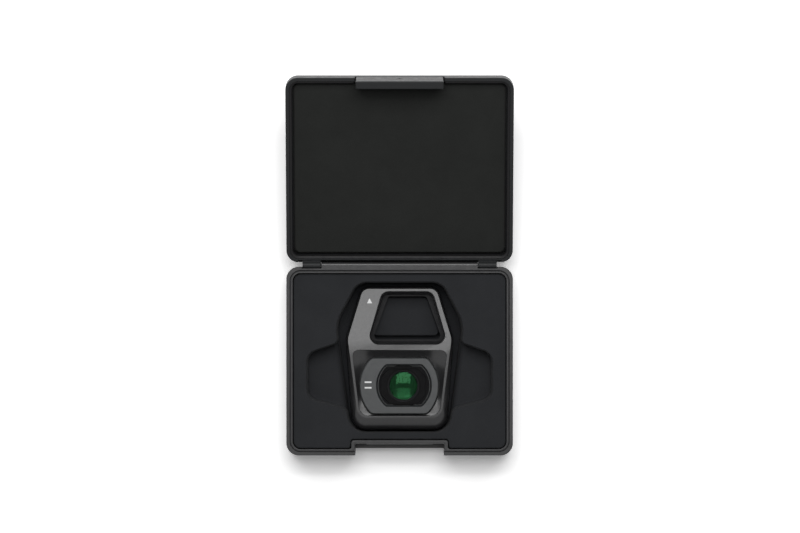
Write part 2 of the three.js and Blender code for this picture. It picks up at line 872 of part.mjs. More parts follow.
function windowCorners() {
  return [
    [windowLowRight, windowLowY, windowRadius],
    [windowTopRight, windowTopY, windowRadius],
    [windowTopLeft, windowTopY, windowRadius],
    [windowLowLeft, windowLowY, windowRadius],
  ];
}

function windowRearCorners() {
  return [
    [windowLowRight - windowInsetX, windowLowY + windowInsetY, windowRearRadius],
    [windowTopRight - windowInsetX, windowTopY - windowInsetY, windowRearRadius],
    [windowTopLeft + windowInsetX, windowTopY - windowInsetY, windowRearRadius],
    [windowLowLeft + windowInsetX, windowLowY + windowInsetY, windowRearRadius],
  ];
}

// The window's funnel, moved out by a wall, from a rear height up past the sloping face.
function windowFunnel(wall, rear, top) {
  const mouth = outlinePoints(offsetCorners(windowCorners(), wall));
  return loft([
    level(outlinePoints(offsetCorners(windowRearCorners(), wall)), rear),
    mouth.map((p) => new THREE.Vector3(p.x, p.y, faceHeightAt(p.y))),
    level(mouth, top),
  ]);
}

function pocketCorners() {
  return [
    [pocketLowHalf, pocketLowY, pocketLowRadius],
    [pocketTopHalf, pocketTopY, pocketTopRadius],
    [-pocketTopHalf, pocketTopY, pocketTopRadius],
    [-pocketLowHalf, pocketLowY, pocketLowRadius],
  ];
}

// Points where rays at even angles from the hood's centre meet an outline.
function resample(points, steps = largeSteps) {
  const centre = new THREE.Vector2(hoodX, hoodY);
  return Array.from({ length: steps }, (_, k) => {
    const angle = (2 * Math.PI * k) / steps;
    const ray = new THREE.Vector2(Math.cos(angle), Math.sin(angle));
    const reaches = points.map((p, i) => rayReach(centre, ray, p, points[(i + 1) % points.length]));
    const reach = Math.max(...reaches);
    return centre.clone().addScaledVector(ray, reach);
  });
}

function rayReach(origin, ray, from, to) {
  const edge = to.clone().sub(from);
  const gap = from.clone().sub(origin);
  const turn = ray.cross(edge);
  if (turn === 0) return 0;
  const along = gap.cross(ray) / turn;
  return along >= 0 && along <= 1 ? gap.cross(edge) / turn : 0;
}

// The pocket's bowl, which narrows to the hood, then the straight hole below it.
function pocketBowl() {
  const mouth = resample(outlinePoints(pocketCorners()));
  const hole = resample(hoodOutline(hoodGap));
  const floor = faceHeight - pocketDepth;
  const sections = [level(hole, hoodRear - cutOverrun), level(hole, floor)];
  for (const [inShare, riseShare] of quarterSteps(1, roundSteps).slice(1)) {
    sections.push(hole.map((p, i) => {
      const mixed = p.clone().lerp(mouth[i], Math.max(riseShare, inShare));
      return new THREE.Vector3(mixed.x, mixed.y, floor + pocketDepth * inShare);
    }));
  }
  sections.push(level(mouth, faceHeight + cutOverrun));
  return loft(sections);
}

// The wall that stands round the pocket inside the frame.
function pocketWall() {
  return prism(hoodOutline(hoodGap + innerWall), hoodRear + hoodGap, faceHeight - frameRoof / 2);
}

function frontFrame() {
  const rear = socketDepth + carrierPlate + carrierGap;
  const form = frameForm(0, 0, skirtHeight, chinHeight);
  const hollow = frameForm(frameWall, frameRoof + pocketDepth, skirtHeight - cutOverrun, rear);
  let frame = form
    .subtract(hollow)
    .add(windowFunnel(innerWall, rear, faceHeight + cutOverrun).intersect(form))
    .add(pocketWall().intersect(form));
  for (const [x, y] of screwPlaces) {
    const boss = prism(circlePoints(x, y, bossRadius, smallSteps), rear, faceHeight).intersect(form);
    frame = frame.add(boss);
  }
  frame = frame
    .subtract(windowFunnel(0, rear - cutOverrun, faceHeight + 2 * cutOverrun))
    .subtract(pocketBowl());
  for (const [x, y] of screwPlaces) {
    const bore = screwRadius + screwClearance;
    frame = frame.subtract(prism(circlePoints(x, y, bore, smallSteps), skirtHeight, screwTop() + screwGap));
  }
  return frame;
}

function screwTop() {
  return socketDepth - screwGap + screwLength;
}

// The hood's outline and its aperture's, moved out by a distance.
function hoodOutline(distance) {
  const corner = hoodCornerRadius + distance;
  return cutCircle(hoodX, hoodY, hoodRadius + distance, hoodHalfHeight + distance, corner);
}

function apertureOutline(distance) {
  const corner = apertureCornerRadius + distance;
  return cutCircle(apertureX, apertureY, apertureRadius + distance, apertureHalfHeight + distance, corner);
}

function hoodBezel() {
  const body = loft([
    level(hoodOutline(0), hoodRear),
    level(hoodOutline(0), hoodFront - hoodEdge),
    level(hoodOutline(-hoodEdge), hoodFront),
  ]);
  const flangeLow = hoodRear - hoodFlangeThickness;
  const flange = prism(hoodOutline(hoodFlange), flangeLow, hoodRear);
  const aperture = loft([
    level(apertureOutline(-apertureTaper), hoodFront - apertureDepth),
    level(apertureOutline(0), hoodFront - hoodEdge),
    level(apertureOutline(hoodEdge), hoodFront),
    level(apertureOutline(hoodEdge), hoodFront + cutOverrun),
  ]);
  const seat = prism(
    circlePoints(axisX, axisY, barrelOuter + boreGap),
    flangeLow - cutOverrun,
    hoodFront - apertureDepth + cutOverrun,
  );
  return body.add(flange).subtract(aperture).subtract(seat);
}

function hoodBaffle() {
  const low = hoodFront - apertureDepth + axialGap;
  const high = low + baffleThickness;
  const plate = prism(apertureOutline(-apertureTaper - baffleGap), low, high);
  const throat = prism(circlePoints(axisX, axisY, baffleThroat), low - cutOverrun, high + cutOverrun);
  const mouth = prism(
    outlinePoints(rectCorners(baffleHalfWidth, baffleHalfHeight, baffleRadius, axisX, axisY)),
    low + baffleThickness / 2,
    high + cutOverrun,
  );
  return plate.subtract(throat).subtract(mouth);
}

// Heights of the optical stack, as [low, high] of each piece's rim.
function stackHeights() {
  let height = barrelFront - frontRingDepth;
  const take = (thickness) => {
    const high = height;
    height = high - thickness - axialGap;
    return [high - thickness, high];
  };
  return {
    frontRing: take(frontRingThickness),
    front: take(frontRimThickness),
    frontSpacer: take(frontSpacerThickness),
    middle: take(middleRimThickness),
    shoulder: take(shoulderThickness),
    rearSpacer: take(rearSpacerThickness),
    rear: take(rearRimThickness),
    rearRing: take(rearRingThickness),
  };
}

function lensBarrel(stack) {
  const [shoulderLow, shoulderHigh] = stack.shoulder;
  return turned([
    [rearBore, barrelRear],
    [barrelOuter, barrelRear],
    [barrelOuter, barrelFront],
    [frontBore, barrelFront],
    [frontBore, shoulderHigh],
    [shoulderBore, shoulderHigh],
    [shoulderBore, shoulderLow],
    [rearBore, shoulderLow],
    [rearBore, barrelRear],
  ], axisX, axisY);
}

function retainingRing([low, high], outer, inner, bevel) {
  return turned([
    [inner, low],
    [outer, low],
    [outer, high],
    [inner + bevel, high],
    [inner, high - bevel],
    [inner, low],
  ], axisX, axisY);
}

// A lens element: a flat rim, and inside its clear radius a cap of the given sag
// on each side, which is plus where it bulges out.
function element([low, high], radius, clear, frontCap, rearCap) {
  const shares = Array.from({ length: glassSteps + 1 }, (_, k) => k / glassSteps);
  const rear = shares.map((share) => [clear * share, low - rearCap * (1 - share ** 2)]);
  const front = shares.map((share) => [clear * share, high + frontCap * (1 - share ** 2)]);
  return turned([...rear, [radius, low], [radius, high], ...front.reverse()], axisX, axisY);
}

// The rear carrier: a wall inside the skirt, and a plate that carries the barrel.
function rearCarrier() {
  const outline = (inset) => outlinePoints(skirtCorners(-frameWall - carrierGap - inset));
  const plateTop = socketDepth + carrierPlate;
  let carrier = prism(outline(0), 0, plateTop)
    .subtract(prism(outline(carrierWall), -cutOverrun, socketDepth))
    .subtract(prism(outlinePoints(windowRearCorners()), 0, plateTop + cutOverrun))
    .subtract(prism(circlePoints(axisX, axisY, carrierBore), 0, plateTop + cutOverrun))
    .subtract(ring(gasketInner - gasketGap, gasketOuter + gasketGap, 0, socketDepth + gasketSeat));
  for (const [x, y] of screwPlaces) {
    const bore = circlePoints(x, y, screwRadius + screwClearance, smallSteps);
    carrier = carrier.subtract(prism(bore, 0, plateTop + cutOverrun));
  }
  return carrier;
}

function rearGasket() {
  const high = socketDepth + gasketSeat - gasketGap;
  const low = high - gasketThickness;
  const middle = (gasketInner + gasketOuter) / 2;
  return turned([
    [gasketInner, low + gasketThickness / 2],
    [middle, low],
    [gasketOuter, low + gasketThickness / 2],
    [gasketOuter, high],
    [gasketInner, high],
    [gasketInner, low + gasketThickness / 2],
  ], axisX, axisY);
}

// Half width of the space inside the carrier's wall at a place along Y.
function carrierHalfWidth(y) {
  const points = outlinePoints(skirtCorners(-frameWall - carrierGap - carrierWall));
  const from = new THREE.Vector2(0, y);
  const ray = new THREE.Vector2(1, 0);
  return Math.max(...points.map((p, i) => rayReach(from, ray, p, points[(i + 1) % points.length])));
}

// One spring clip: an upright leaf under the plate with a barb turned inwards. Side is 1 or -1.
function snapClip(side) {
  const ends = [clipY - clipWidth / 2, clipY + clipWidth / 2];
  const wall = Math.min(...ends.map((y) => carrierHalfWidth(y))) - clipGap;
  const high = socketDepth - screwGap;
  const leaf = [
    [wall, clipGap],
    [wall, high],
    [wall - 2 * clipThickness, high],
    [wall - 2 * clipThickness, high - clipThickness],
    [wall - clipThickness, high - clipThickness],
    [wall - clipThickness, clipGap + clipBarbHeight],
    [wall - clipThickness - clipBarb, clipGap + clipBarbHeight / 2],
    [wall - clipThickness, clipGap],
  ];
  const shape = new THREE.Shape(leaf.map(([x, z]) => new THREE.Vector2(side * x, z)));
  const geometry = new THREE.ExtrudeGeometry(shape, { depth: clipWidth, bevelEnabled: false });
  geometry.rotateX(Math.PI / 2);
  geometry.translate(0, ends[1], 0);
  return toSolid(geometry);
}

// A countersunk-free screw: a flat head with a round drive, and a plain shank.
function carrierScrew([x, y]) {
  const seat = socketDepth - screwGap;
  const low = seat - screwHeadHeight;
  return turned([
    [0, low + driveDepth],
    [driveRadius, low + driveDepth],
    [driveRadius, low],
    [screwHeadRadius, low],
    [screwHeadRadius, seat],
    [screwRadius, seat],
    [screwRadius, screwTop()],
    [0, screwTop()],
  ], x, y, smallSteps);
}

const finishes = {
  shell: { color: 0x565759, roughness: 0.55, metalness: 0 },
  lining: { color: 0x2c2d2f, roughness: 0.6, metalness: 0 },
  pad: { color: 0x2a2a2c, roughness: 0.95, metalness: 0 },
  tray: { color: 0x2e2f31, roughness: 0.9, metalness: 0 },
  steel: { color: 0xb0b2b4, roughness: 0.35, metalness: 1 },
  frame: { color: 0x77787a, roughness: 0.5, metalness: 0.2 },
  black: { color: 0x1b1b1d, roughness: 0.5, metalness: 0 },
  hood: { color: 0x58595b, roughness: 0.55, metalness: 0 },
  anodised: { color: 0x242426, roughness: 0.45, metalness: 0.6 },
  rubber: { color: 0x141415, roughness: 0.9, metalness: 0 },
  glass: { color: 0x9fd8b4, roughness: 0.02, metalness: 0, transparent: true, opacity: 0.35 },
};

function piece(name, solid, finish) {
  const mesh = new THREE.Mesh(toGeometry(solid), new THREE.MeshStandardMaterial(finishes[finish]));
  mesh.name = name;
  return mesh;
}

function caseBase() {
  const group = new THREE.Group();
  group.add(piece('base_shell', baseShell(), 'shell'));
  group.add(piece('base_inner_frame', baseInnerFrame(), 'shell'));
  group.add(piece('lens_tray', lensTray(), 'tray'));
  group.add(piece('hinge_pin', hingePin(), 'steel'));
  return group;
}

// The lid is drawn shut and then swung open about the hinge axis.
function caseLid() {
  const swing = new THREE.Group();
  const closed = new THREE.Group();
  closed.add(piece('lid_shell', lidShell(), 'shell'));
  closed.add(piece('lid_inner_frame', lidInnerFrame(), 'lining'));
  closed.add(piece('lid_pad', lidPad(), 'pad'));
  closed.add(piece('latch_tab', latchTab(), 'shell'));
  closed.position.set(0, -hingeY, -hingeZ);
  swing.add(closed);
  swing.position.set(0, hingeY, hingeZ);
  swing.rotation.x = -openAngle;
  return swing;
}

// The lens stands on its rear rim, and here on the tray's seat.
function converterLens() {
  const group = new THREE.Group();
  const stack = stackHeights();
  const frontFit = frontBore - boreGap;
  const rearFit = rearBore - boreGap;
  group.add(piece('front_frame', frontFrame(), 'frame'));
  group.add(piece('rear_carrier', rearCarrier(), 'black'));
  group.add(piece('hood_bezel', hoodBezel(), 'hood'));
  group.add(piece('hood_baffle', hoodBaffle(), 'black'));
  group.add(piece('lens_barrel', lensBarrel(stack), 'anodised'));
  group.add(piece('front_retaining_ring',
    retainingRing(stack.frontRing, frontFit, frontRingBore, ringBevel), 'anodised'));
  const frontClear = frontRingBore - boreGap;
  const middleClear = shoulderBore - boreGap;
  const rearClear = rearSpacerBore - boreGap;
  group.add(piece('front_element',
    element(stack.front, frontFit, frontClear, frontSag, -frontRearSag), 'glass'));
  group.add(piece('front_spacer', ring(frontSpacerBore, frontFit, ...stack.frontSpacer), 'black'));
  group.add(piece('middle_element',
    element(stack.middle, frontFit, middleClear, -middleSag, middleSag), 'glass'));
  group.add(piece('rear_spacer', ring(rearSpacerBore, rearFit, ...stack.rearSpacer), 'black'));
  group.add(piece('rear_element',
    element(stack.rear, rearFit, rearClear, rearSag, -rearSag), 'glass'));
  group.add(piece('rear_retaining_ring',
    ring(rearRingBore, rearFit, ...stack.rearRing), 'anodised'));
  group.add(piece('rear_gasket', rearGasket(), 'rubber'));
  group.add(piece('snap_clip_left', snapClip(-1), 'steel'));
  group.add(piece('snap_clip_right', snapClip(1), 'steel'));
  screwPlaces.forEach((place, i) => {
    group.add(piece(`carrier_screw_${i + 1}`, carrierScrew(place), 'steel'));
  });
  group.position.set(0, lensShiftY, traySeat);
  return group;
}

const assembly = new THREE.Group();
assembly.add(caseBase(), caseLid(), converterLens());

export default assembly;
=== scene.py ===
import math

import bmesh
import bpy
import numpy as np
from mathutils import Matrix, Vector


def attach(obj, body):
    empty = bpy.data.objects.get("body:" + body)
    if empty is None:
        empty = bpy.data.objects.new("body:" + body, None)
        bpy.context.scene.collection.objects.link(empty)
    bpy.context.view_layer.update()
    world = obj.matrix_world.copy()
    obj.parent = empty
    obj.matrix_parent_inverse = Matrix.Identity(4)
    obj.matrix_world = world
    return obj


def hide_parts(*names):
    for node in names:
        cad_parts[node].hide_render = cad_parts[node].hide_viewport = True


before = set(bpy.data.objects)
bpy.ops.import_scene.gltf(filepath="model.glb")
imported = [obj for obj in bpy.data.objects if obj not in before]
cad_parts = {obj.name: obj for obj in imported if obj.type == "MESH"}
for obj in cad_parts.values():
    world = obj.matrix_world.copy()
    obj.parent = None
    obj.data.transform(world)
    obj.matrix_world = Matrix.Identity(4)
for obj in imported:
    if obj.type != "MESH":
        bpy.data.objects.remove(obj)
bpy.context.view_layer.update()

MM = 0.001
OPEN = math.radians(165.4)
HINGE_Y = 34.75
HINGE_Z = 17.0
PIN_HOLE = 0.58
BARREL_RADIUS, BARREL_Z, BARREL_END = 1.2, HINGE_Z - 0.2, 28.3
KNUCKLE_RADIUS, KNUCKLE_ROOM = 1.25, 1.55
KNUCKLE_START, KNUCKLE_END = 28.55, 35.15
SHUT_TO_OPEN = (
    Matrix.Translation((0, HINGE_Y * MM, HINGE_Z * MM))
    @ Matrix.Rotation(-OPEN, 4, "X")
    @ Matrix.Translation((0, -HINGE_Y * MM, -HINGE_Z * MM))
)
LENS_LIFT = 3.4
AXIS = (1.35, -9.0)  # of the optics


# Outlines, in millimetres. A corner is (x, y, radius), and corners run anticlockwise.
def rect(half_x, half_y, radius, x=0.0, y=0.0):
    return [
        (x + half_x, y - half_y, radius),
        (x + half_x, y + half_y, radius),
        (x - half_x, y + half_y, radius),
        (x - half_x, y - half_y, radius),
    ]


def mirrored(right):
    return list(right) + [(-x, y, r) for x, y, r in reversed(right)]


def edge_ways(corners):
    p = np.array([c[:2] for c in corners], float)
    into = p - np.roll(p, 1, axis=0)
    into /= np.linalg.norm(into, axis=1)[:, None]
    return p, into, np.roll(into, -1, axis=0)


def offset(corners, distance):
    p, into, out = edge_ways(corners)
    moved = []
    for (x, y, radius), a, b in zip(corners, into, out):
        reach = distance / (1 + a @ b)
        turn = a[0] * b[1] - a[1] * b[0]
        grown = radius + distance if turn >= 0 else radius - distance
        moved.append((x + (a[1] + b[1]) * reach, y - (a[0] + b[0]) * reach, max(grown, 0.12)))
    return moved


def outline(corners, arc=10, side=1):
    p, into, out = edge_ways(corners)
    arcs = []
    for (x, y, radius), a, b in zip(corners, into, out):
        turn = math.atan2(a[0] * b[1] - a[1] * b[0], a @ b)
        hand = 1 if turn >= 0 else -1
        reach = radius * math.tan(abs(turn) / 2)
        start = np.array([x, y]) - a * reach
        centre = start + hand * radius * np.array([-a[1], a[0]])
        spoke = start - centre
        points = []
        for k in range(arc + 1):
            t = turn * k / arc
            c, s = math.cos(t), math.sin(t)
            points.append(centre + np.array([c * spoke[0] - s * spoke[1], s * spoke[0] + c * spoke[1]]))
        arcs.append(points)
    made = []
    for i, points in enumerate(arcs):
        made += points
        start, end = points[-1], arcs[(i + 1) % len(arcs)][0]
        made += [start + (end - start) * k / side for k in range(1, side)]
    return np.array(made)


def circle(x, y, radius, steps=128):
    t = np.arange(steps) * 2 * math.pi / steps
    return np.stack([x + radius * np.cos(t), y + radius * np.sin(t)], axis=1)


def at(points, z):
    """A plan lifted to one height, or to a height for each point."""
    height = np.full(len(points), z) if np.isscalar(z) else z
    return np.column_stack([points, height])


def quarter(radius, steps):
    """A quarter round as (distance inwards, rise)."""
    t = np.linspace(0, math.pi / 2, steps + 1)
    return [(radius * (1 - math.cos(a)), radius * math.sin(a)) for a in t]


# Meshes. Every builder takes millimetres and makes an object in metres.
def make(name, points, faces):
    mesh = bpy.data.meshes.new(name)
    mesh.from_pydata((np.asarray(points, float) * MM).tolist(), [], faces)
    mesh.validate()
    obj = bpy.data.objects.new(name, mesh)
    bpy.context.scene.collection.objects.link(obj)
    return obj


def loft(sections, name="cutter", across=False):
    """A closed solid through its sections. Across spans the ends in strips, for ends that aren't flat."""
    count = len(sections[0])
    faces = []
    for s in range(len(sections) - 1):
        for i in range(count):
            j = (i + 1) % count
            faces.append((s * count + i, s * count + j, (s + 1) * count + j, (s + 1) * count + i))
    top = (len(sections) - 1) * count
    if across:
        for i in range(count // 2 - 1):
            left = count - 1 - i
            quad = (i, i + 1, left - 1, left) if i + 1 < left - 1 else (i, i + 1, left)
            faces.append(tuple(reversed(quad)))
            faces.append(tuple(top + q for q in quad))
    else:
        faces.append(tuple(reversed(range(count))))
        faces.append(tuple(range(top, top + count)))
    return make(name, np.concatenate(sections), faces)


def prism(points, low, high, name="cutter"):
    return loft([at(points, low), at(points, high)], name)


def block(low, high, name="cutter"):
    (x0, y0, z0), (x1, y1, z1) = low, high
    return prism(np.array([(x1, y0), (x1, y1), (x0, y1), (x0, y0)], float), z0, z1, name)


def cross_prism(profile, start, end, name="cutter"):
    """A (y, z) profile drawn out along x."""
    count = len(profile)
    area = sum(
        profile[i][0] * profile[(i + 1) % count][1] - profile[(i + 1) % count][0] * profile[i][1]
        for i in range(count)
    )
    profile = profile if area > 0 else list(reversed(profile))
    points = [(start, y, z) for y, z in profile] + [(end, y, z) for y, z in profile]
    faces = [(i, (i + 1) % count, (i + 1) % count + count, i + count) for i in range(count)]
    faces += [tuple(reversed(range(count))), tuple(range(count, 2 * count))]
    return make(name, points, faces)


def rod(radius, start, end, z=HINGE_Z, steps=64, edge=0.0, name="cutter"):
    """A round bar along x, level with the hinge."""
    profile = [(start, radius - edge), (start + edge, radius), (end - edge, radius), (end, radius - edge)]
    if edge == 0:
        profile = [(start, radius), (end, radius)]
    points, faces = [], []
    for x, r in profile:
        for k in range(steps):
            t = 2 * math.pi * k / steps
            points.append((x, HINGE_Y + r * math.cos(t), z + r * math.sin(t)))
    for s in range(len(profile) - 1):
        for k in range(steps):
            j = (k + 1) % steps
            faces.append((s * steps + k, s * steps + j, (s + 1) * steps + j, (s + 1) * steps + k))
    top = (len(profile) - 1) * steps
    faces += [tuple(reversed(range(steps))), tuple(range(top, top + steps))]
    return make(name, points, faces)


ON_AXIS = 1e-6


def turned(profile, x, y, name, steps=128):
    """profile lists (radius, z), anticlockwise seen with radius to the right and z up."""
    points, rings = [], []
    for r, z in profile:
        if r < ON_AXIS:
            rings.append([len(points)] * steps)
            points.append((x, y, z))
            continue
        rings.append(list(range(len(points), len(points) + steps)))
        for k in range(steps):
            t = 2 * math.pi * k / steps
            points.append((x + r * math.cos(t), y + r * math.sin(t), z))
    faces = []
    for a, b in zip(rings, rings[1:] + rings[:1]):
        for k in range(steps):
            j = (k + 1) % steps
            corners = [a[k], a[j], b[j], b[k]]
            face = tuple(c for n, c in enumerate(corners) if c not in corners[:n])
            if len(face) > 2:
                faces.append(face)
    return make(name, points, faces)


def combine(obj, other, operation):
    step = obj.modifiers.new("step", "BOOLEAN")
    step.operation = operation
    step.solver = "EXACT"
    step.object = other
    graph = bpy.context.evaluated_depsgraph_get()
    graph.update()
    mesh = bpy.data.meshes.new_from_object(obj.evaluated_get(graph))
    obj.modifiers.clear()
    old = obj.data
    mesh.name = obj.name
    obj.data = mesh
    bpy.data.meshes.remove(old)
    spare = other.data
    bpy.data.objects.remove(other)
    bpy.data.meshes.remove(spare)
    return obj


def cut(obj, *others):
    for other in others:
        combine(obj, other, "DIFFERENCE")
    return obj


def join(obj, *others):
    for other in others:
        combine(obj, other, "UNION")
    return obj


def common(obj, *others):
    for other in others:
        combine(obj, other, "INTERSECT")
    return obj


WELD = 2e-6


def tidy(obj, flat=0.4):
    """Merges doubled points and dissolves the seams that cuts leave on flat faces."""
    bm = bmesh.new()
    bm.from_mesh(obj.data)
    bmesh.ops.remove_doubles(bm, verts=bm.verts, dist=WELD)
    if flat:
        bmesh.ops.dissolve_limit(
            bm, angle_limit=math.radians(flat), verts=bm.verts, edges=bm.edges, use_dissolve_boundaries=False
        )
    bmesh.ops.recalc_face_normals(bm, faces=bm.faces)
    bm.to_mesh(obj.data)
    bm.free()
    return obj


def soften(obj, width=0.12, segments=2, limit=32):
    """Small rounded edges, and smooth shading weighted by the flat faces."""
    if width:
        bevel = obj.modifiers.new("edge", "BEVEL")
        bevel.width = width * MM
        bevel.segments = segments
        bevel.limit_method = "ANGLE"
        bevel.angle_limit = math.radians(limit)
        bevel.use_clamp_overlap = False
        bevel.miter_outer = "MITER_ARC"
    obj.data.polygons.foreach_set("use_smooth", [True] * len(obj.data.polygons))
    if not width:
        obj.data.set_sharp_from_angle(angle=math.radians(limit))
    weight = obj.modifiers.new("normals", "WEIGHTED_NORMAL")
    weight.keep_sharp = True
    weight.weight = 60
    obj.data.update()
    return obj


def place(obj, body, material, stands_for=None):
    """Puts a piece, drawn with the case shut or in the lens's own frame, on its body."""
    obj.data.materials.clear()
    obj.data.materials.append(material)
    if body == "lid":
        obj.data.transform(SHUT_TO_OPEN)
        obj.data.update()
    if body == "lens":
        obj.data.transform(Matrix.Translation((0, 0, LENS_LIFT * MM)))
        obj.data.update()
    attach(obj, body)
    if stands_for:
        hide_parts(stands_for)
    return obj


# Materials. Scales are in the object's own metres, so a pattern stays with its piece.
def srgb(*values):
    made = []
    for v in values:
        c = v / 255
        made.append(c / 12.92 if c <= 0.04045 else ((c + 0.055) / 1.055) ** 2.4)
    return made


class Nodes:
    def __init__(self, name):
        self.material = bpy.data.materials.new(name)
        self.material.use_nodes = True
        self.tree = self.material.node_tree
        self.shader = self.tree.nodes["Principled BSDF"]
        self.coords = self.add("ShaderNodeTexCoord").outputs["Object"]

    def add(self, kind, **values):
        node = self.tree.nodes.new(kind)
        for key, value in values.items():
            if hasattr(node, key):
                setattr(node, key, value)
            else:
                node.inputs[key].default_value = value
        return node

    def link(self, source, target):
        self.tree.links.new(source, target)

    def set(self, **values):
        for key, value in values.items():
            self.shader.inputs[key.replace("_", " ")].default_value = value

    def noise(self, size, detail=3.0, rough=0.55, distortion=0.0, stretch=None):
        node = self.add("ShaderNodeTexNoise", Scale=1 / (size * MM), Detail=detail, Roughness=rough,
                        Distortion=distortion)
        source = self.coords
        if stretch:
            mapping = self.add("ShaderNodeMapping", Scale=stretch)
            self.link(source, mapping.inputs["Vector"])
            source = mapping.outputs["Vector"]
        self.link(source, node.inputs["Vector"])
        return node.outputs["Fac"]

    def cells(self, size):
        node = self.add("ShaderNodeTexVoronoi", feature="F1", Scale=1 / (size * MM), Randomness=1.0)
        self.link(self.coords, node.inputs["Vector"])
        return node.outputs["Distance"]

    def ramp(self, source, low, high, start=0.35, end=0.65):
        node = self.add("ShaderNodeMapRange")
        node.inputs["From Min"].default_value = start
        node.inputs["From Max"].default_value = end
        node.inputs["To Min"].default_value = low
        node.inputs["To Max"].default_value = high
        self.link(source, node.inputs["Value"])
        return node.outputs["Result"]

    def mix_colour(self, factor, first, second):
        node = self.add("ShaderNodeMix", data_type="RGBA")
        node.inputs[6].default_value = (*first, 1)
        node.inputs[7].default_value = (*second, 1)
        self.link(factor, node.inputs[0])
        return node.outputs[2]

    def tones(self, drift, colour, low, high):
        """One colour, darker and lighter by place."""
        return self.mix_colour(self.ramp(drift, 0, 1), shade(colour, low), shade(colour, high))

    def blend_colours(self, factor, first, second):
        node = self.add("ShaderNodeMix", data_type="RGBA")
        self.link(first, node.inputs[6])
        self.link(second, node.inputs[7])
        self.link(factor, node.inputs[0])
        return node.outputs[2]

    def maths(self, operation, first, second):
        node = self.add("ShaderNodeMath", operation=operation)
        for socket, value in zip(node.inputs, (first, second)):
            if isinstance(value, (int, float)):
                socket.default_value = value
            else:
                self.link(value, socket)
        return node.outputs[0]

    def bump(self, height, depth, under=None):
        node = self.add("ShaderNodeBump", Strength=1.0, Distance=depth * MM)
        self.link(height, node.inputs["Height"])
        if under is not None:
            self.link(under, node.inputs["Normal"])
        return node.outputs["Normal"]


def shade(colour, factor):
    return [min(1.0, c * factor) for c in colour]


def moulded(name, colour, rough, grain, depth, level, mottle=0.05):
    """Moulded or painted plastic: a fine grain, faint colour drift and uneven gloss."""
    n = Nodes(name)
    fine = n.noise(grain, detail=4, rough=0.6)
    drift = n.noise(22, detail=3, rough=0.6)
    dust = n.noise(1.6, detail=5, rough=0.7)
    low = n.tones(drift, colour, 1 - mottle, 1 + mottle)
    high = n.tones(drift, colour, 1 + mottle / 2, 1 + 2.2 * mottle)
    n.link(n.blend_colours(n.ramp(fine, 0, 1, 0.42, 0.62), low, high), n.shader.inputs["Base Color"])
    uneven = n.maths("ADD", n.ramp(dust, rough - 0.05, rough + 0.06), n.ramp(fine, -0.03, 0.03))
    n.link(uneven, n.shader.inputs["Roughness"])
    n.link(n.bump(fine, depth, under=n.bump(drift, 0.02)), n.shader.inputs["Normal"])
    n.set(Specular_IOR_Level=level)
    return n.material


def foam(name, colour, rough, cell, depth, level, sheen, mottle=0.07):
    """Closed foam with a skin: small cells, slow waves, a soft sheen."""
    n = Nodes(name)
    small = n.cells(cell)
    fuzz = n.noise(cell * 0.7, detail=4, rough=0.7)
    drift = n.noise(14, detail=4, rough=0.6)
    low = n.tones(drift, colour, 1 - mottle, 1 + mottle)
    high = n.tones(drift, colour, 1 + mottle, 1 + 3 * mottle)
    n.link(n.blend_colours(n.ramp(fuzz, 0, 1, 0.4, 0.66), low, high), n.shader.inputs["Base Color"])
    n.link(n.ramp(fuzz, rough - 0.05, min(rough + 0.06, 1.0)), n.shader.inputs["Roughness"])
    waves = n.bump(drift, 0.05)
    n.link(n.bump(fuzz, depth, under=n.bump(small, depth, under=waves)), n.shader.inputs["Normal"])
    n.set(Specular_IOR_Level=level, Sheen_Weight=sheen, Sheen_Roughness=0.5)
    return n.material


def blasted(name, colour, rough, level, grain=0.22, depth=0.01):
    """A bead-blasted look under paint: bright flecks in a matt ground."""
    n = Nodes(name)
    fine = n.noise(grain, detail=5, rough=0.7)
    fleck = n.cells(grain * 1.3)
    drift = n.noise(16, detail=3, rough=0.6)
    base = n.tones(drift, colour, 0.95, 1.05)
    bright = n.tones(drift, colour, 1.18, 1.3)
    n.link(n.blend_colours(n.ramp(fleck, 1, 0, 0.1, 0.5), base, bright), n.shader.inputs["Base Color"])
    n.link(n.ramp(fine, rough - 0.06, rough + 0.08), n.shader.inputs["Roughness"])
    n.link(n.bump(fine, depth), n.shader.inputs["Normal"])
    n.set(Specular_IOR_Level=level)
    return n.material


def drawn_steel(name, colour, rough=0.3):
    """Bare steel with faint lines along one way."""
    n = Nodes(name)
    lines = n.noise(0.5, detail=4, rough=0.7, stretch=(0.05, 1, 1))
    drift = n.noise(6, detail=3)
    n.link(n.tones(drift, colour, 0.9, 1.06), n.shader.inputs["Base Color"])
    n.link(n.ramp(lines, rough - 0.06, rough + 0.1), n.shader.inputs["Roughness"])
    n.link(n.bump(lines, 0.004), n.shader.inputs["Normal"])
    n.set(Metallic=1.0)
    return n.material


RINGS_TO_SCALE = 20


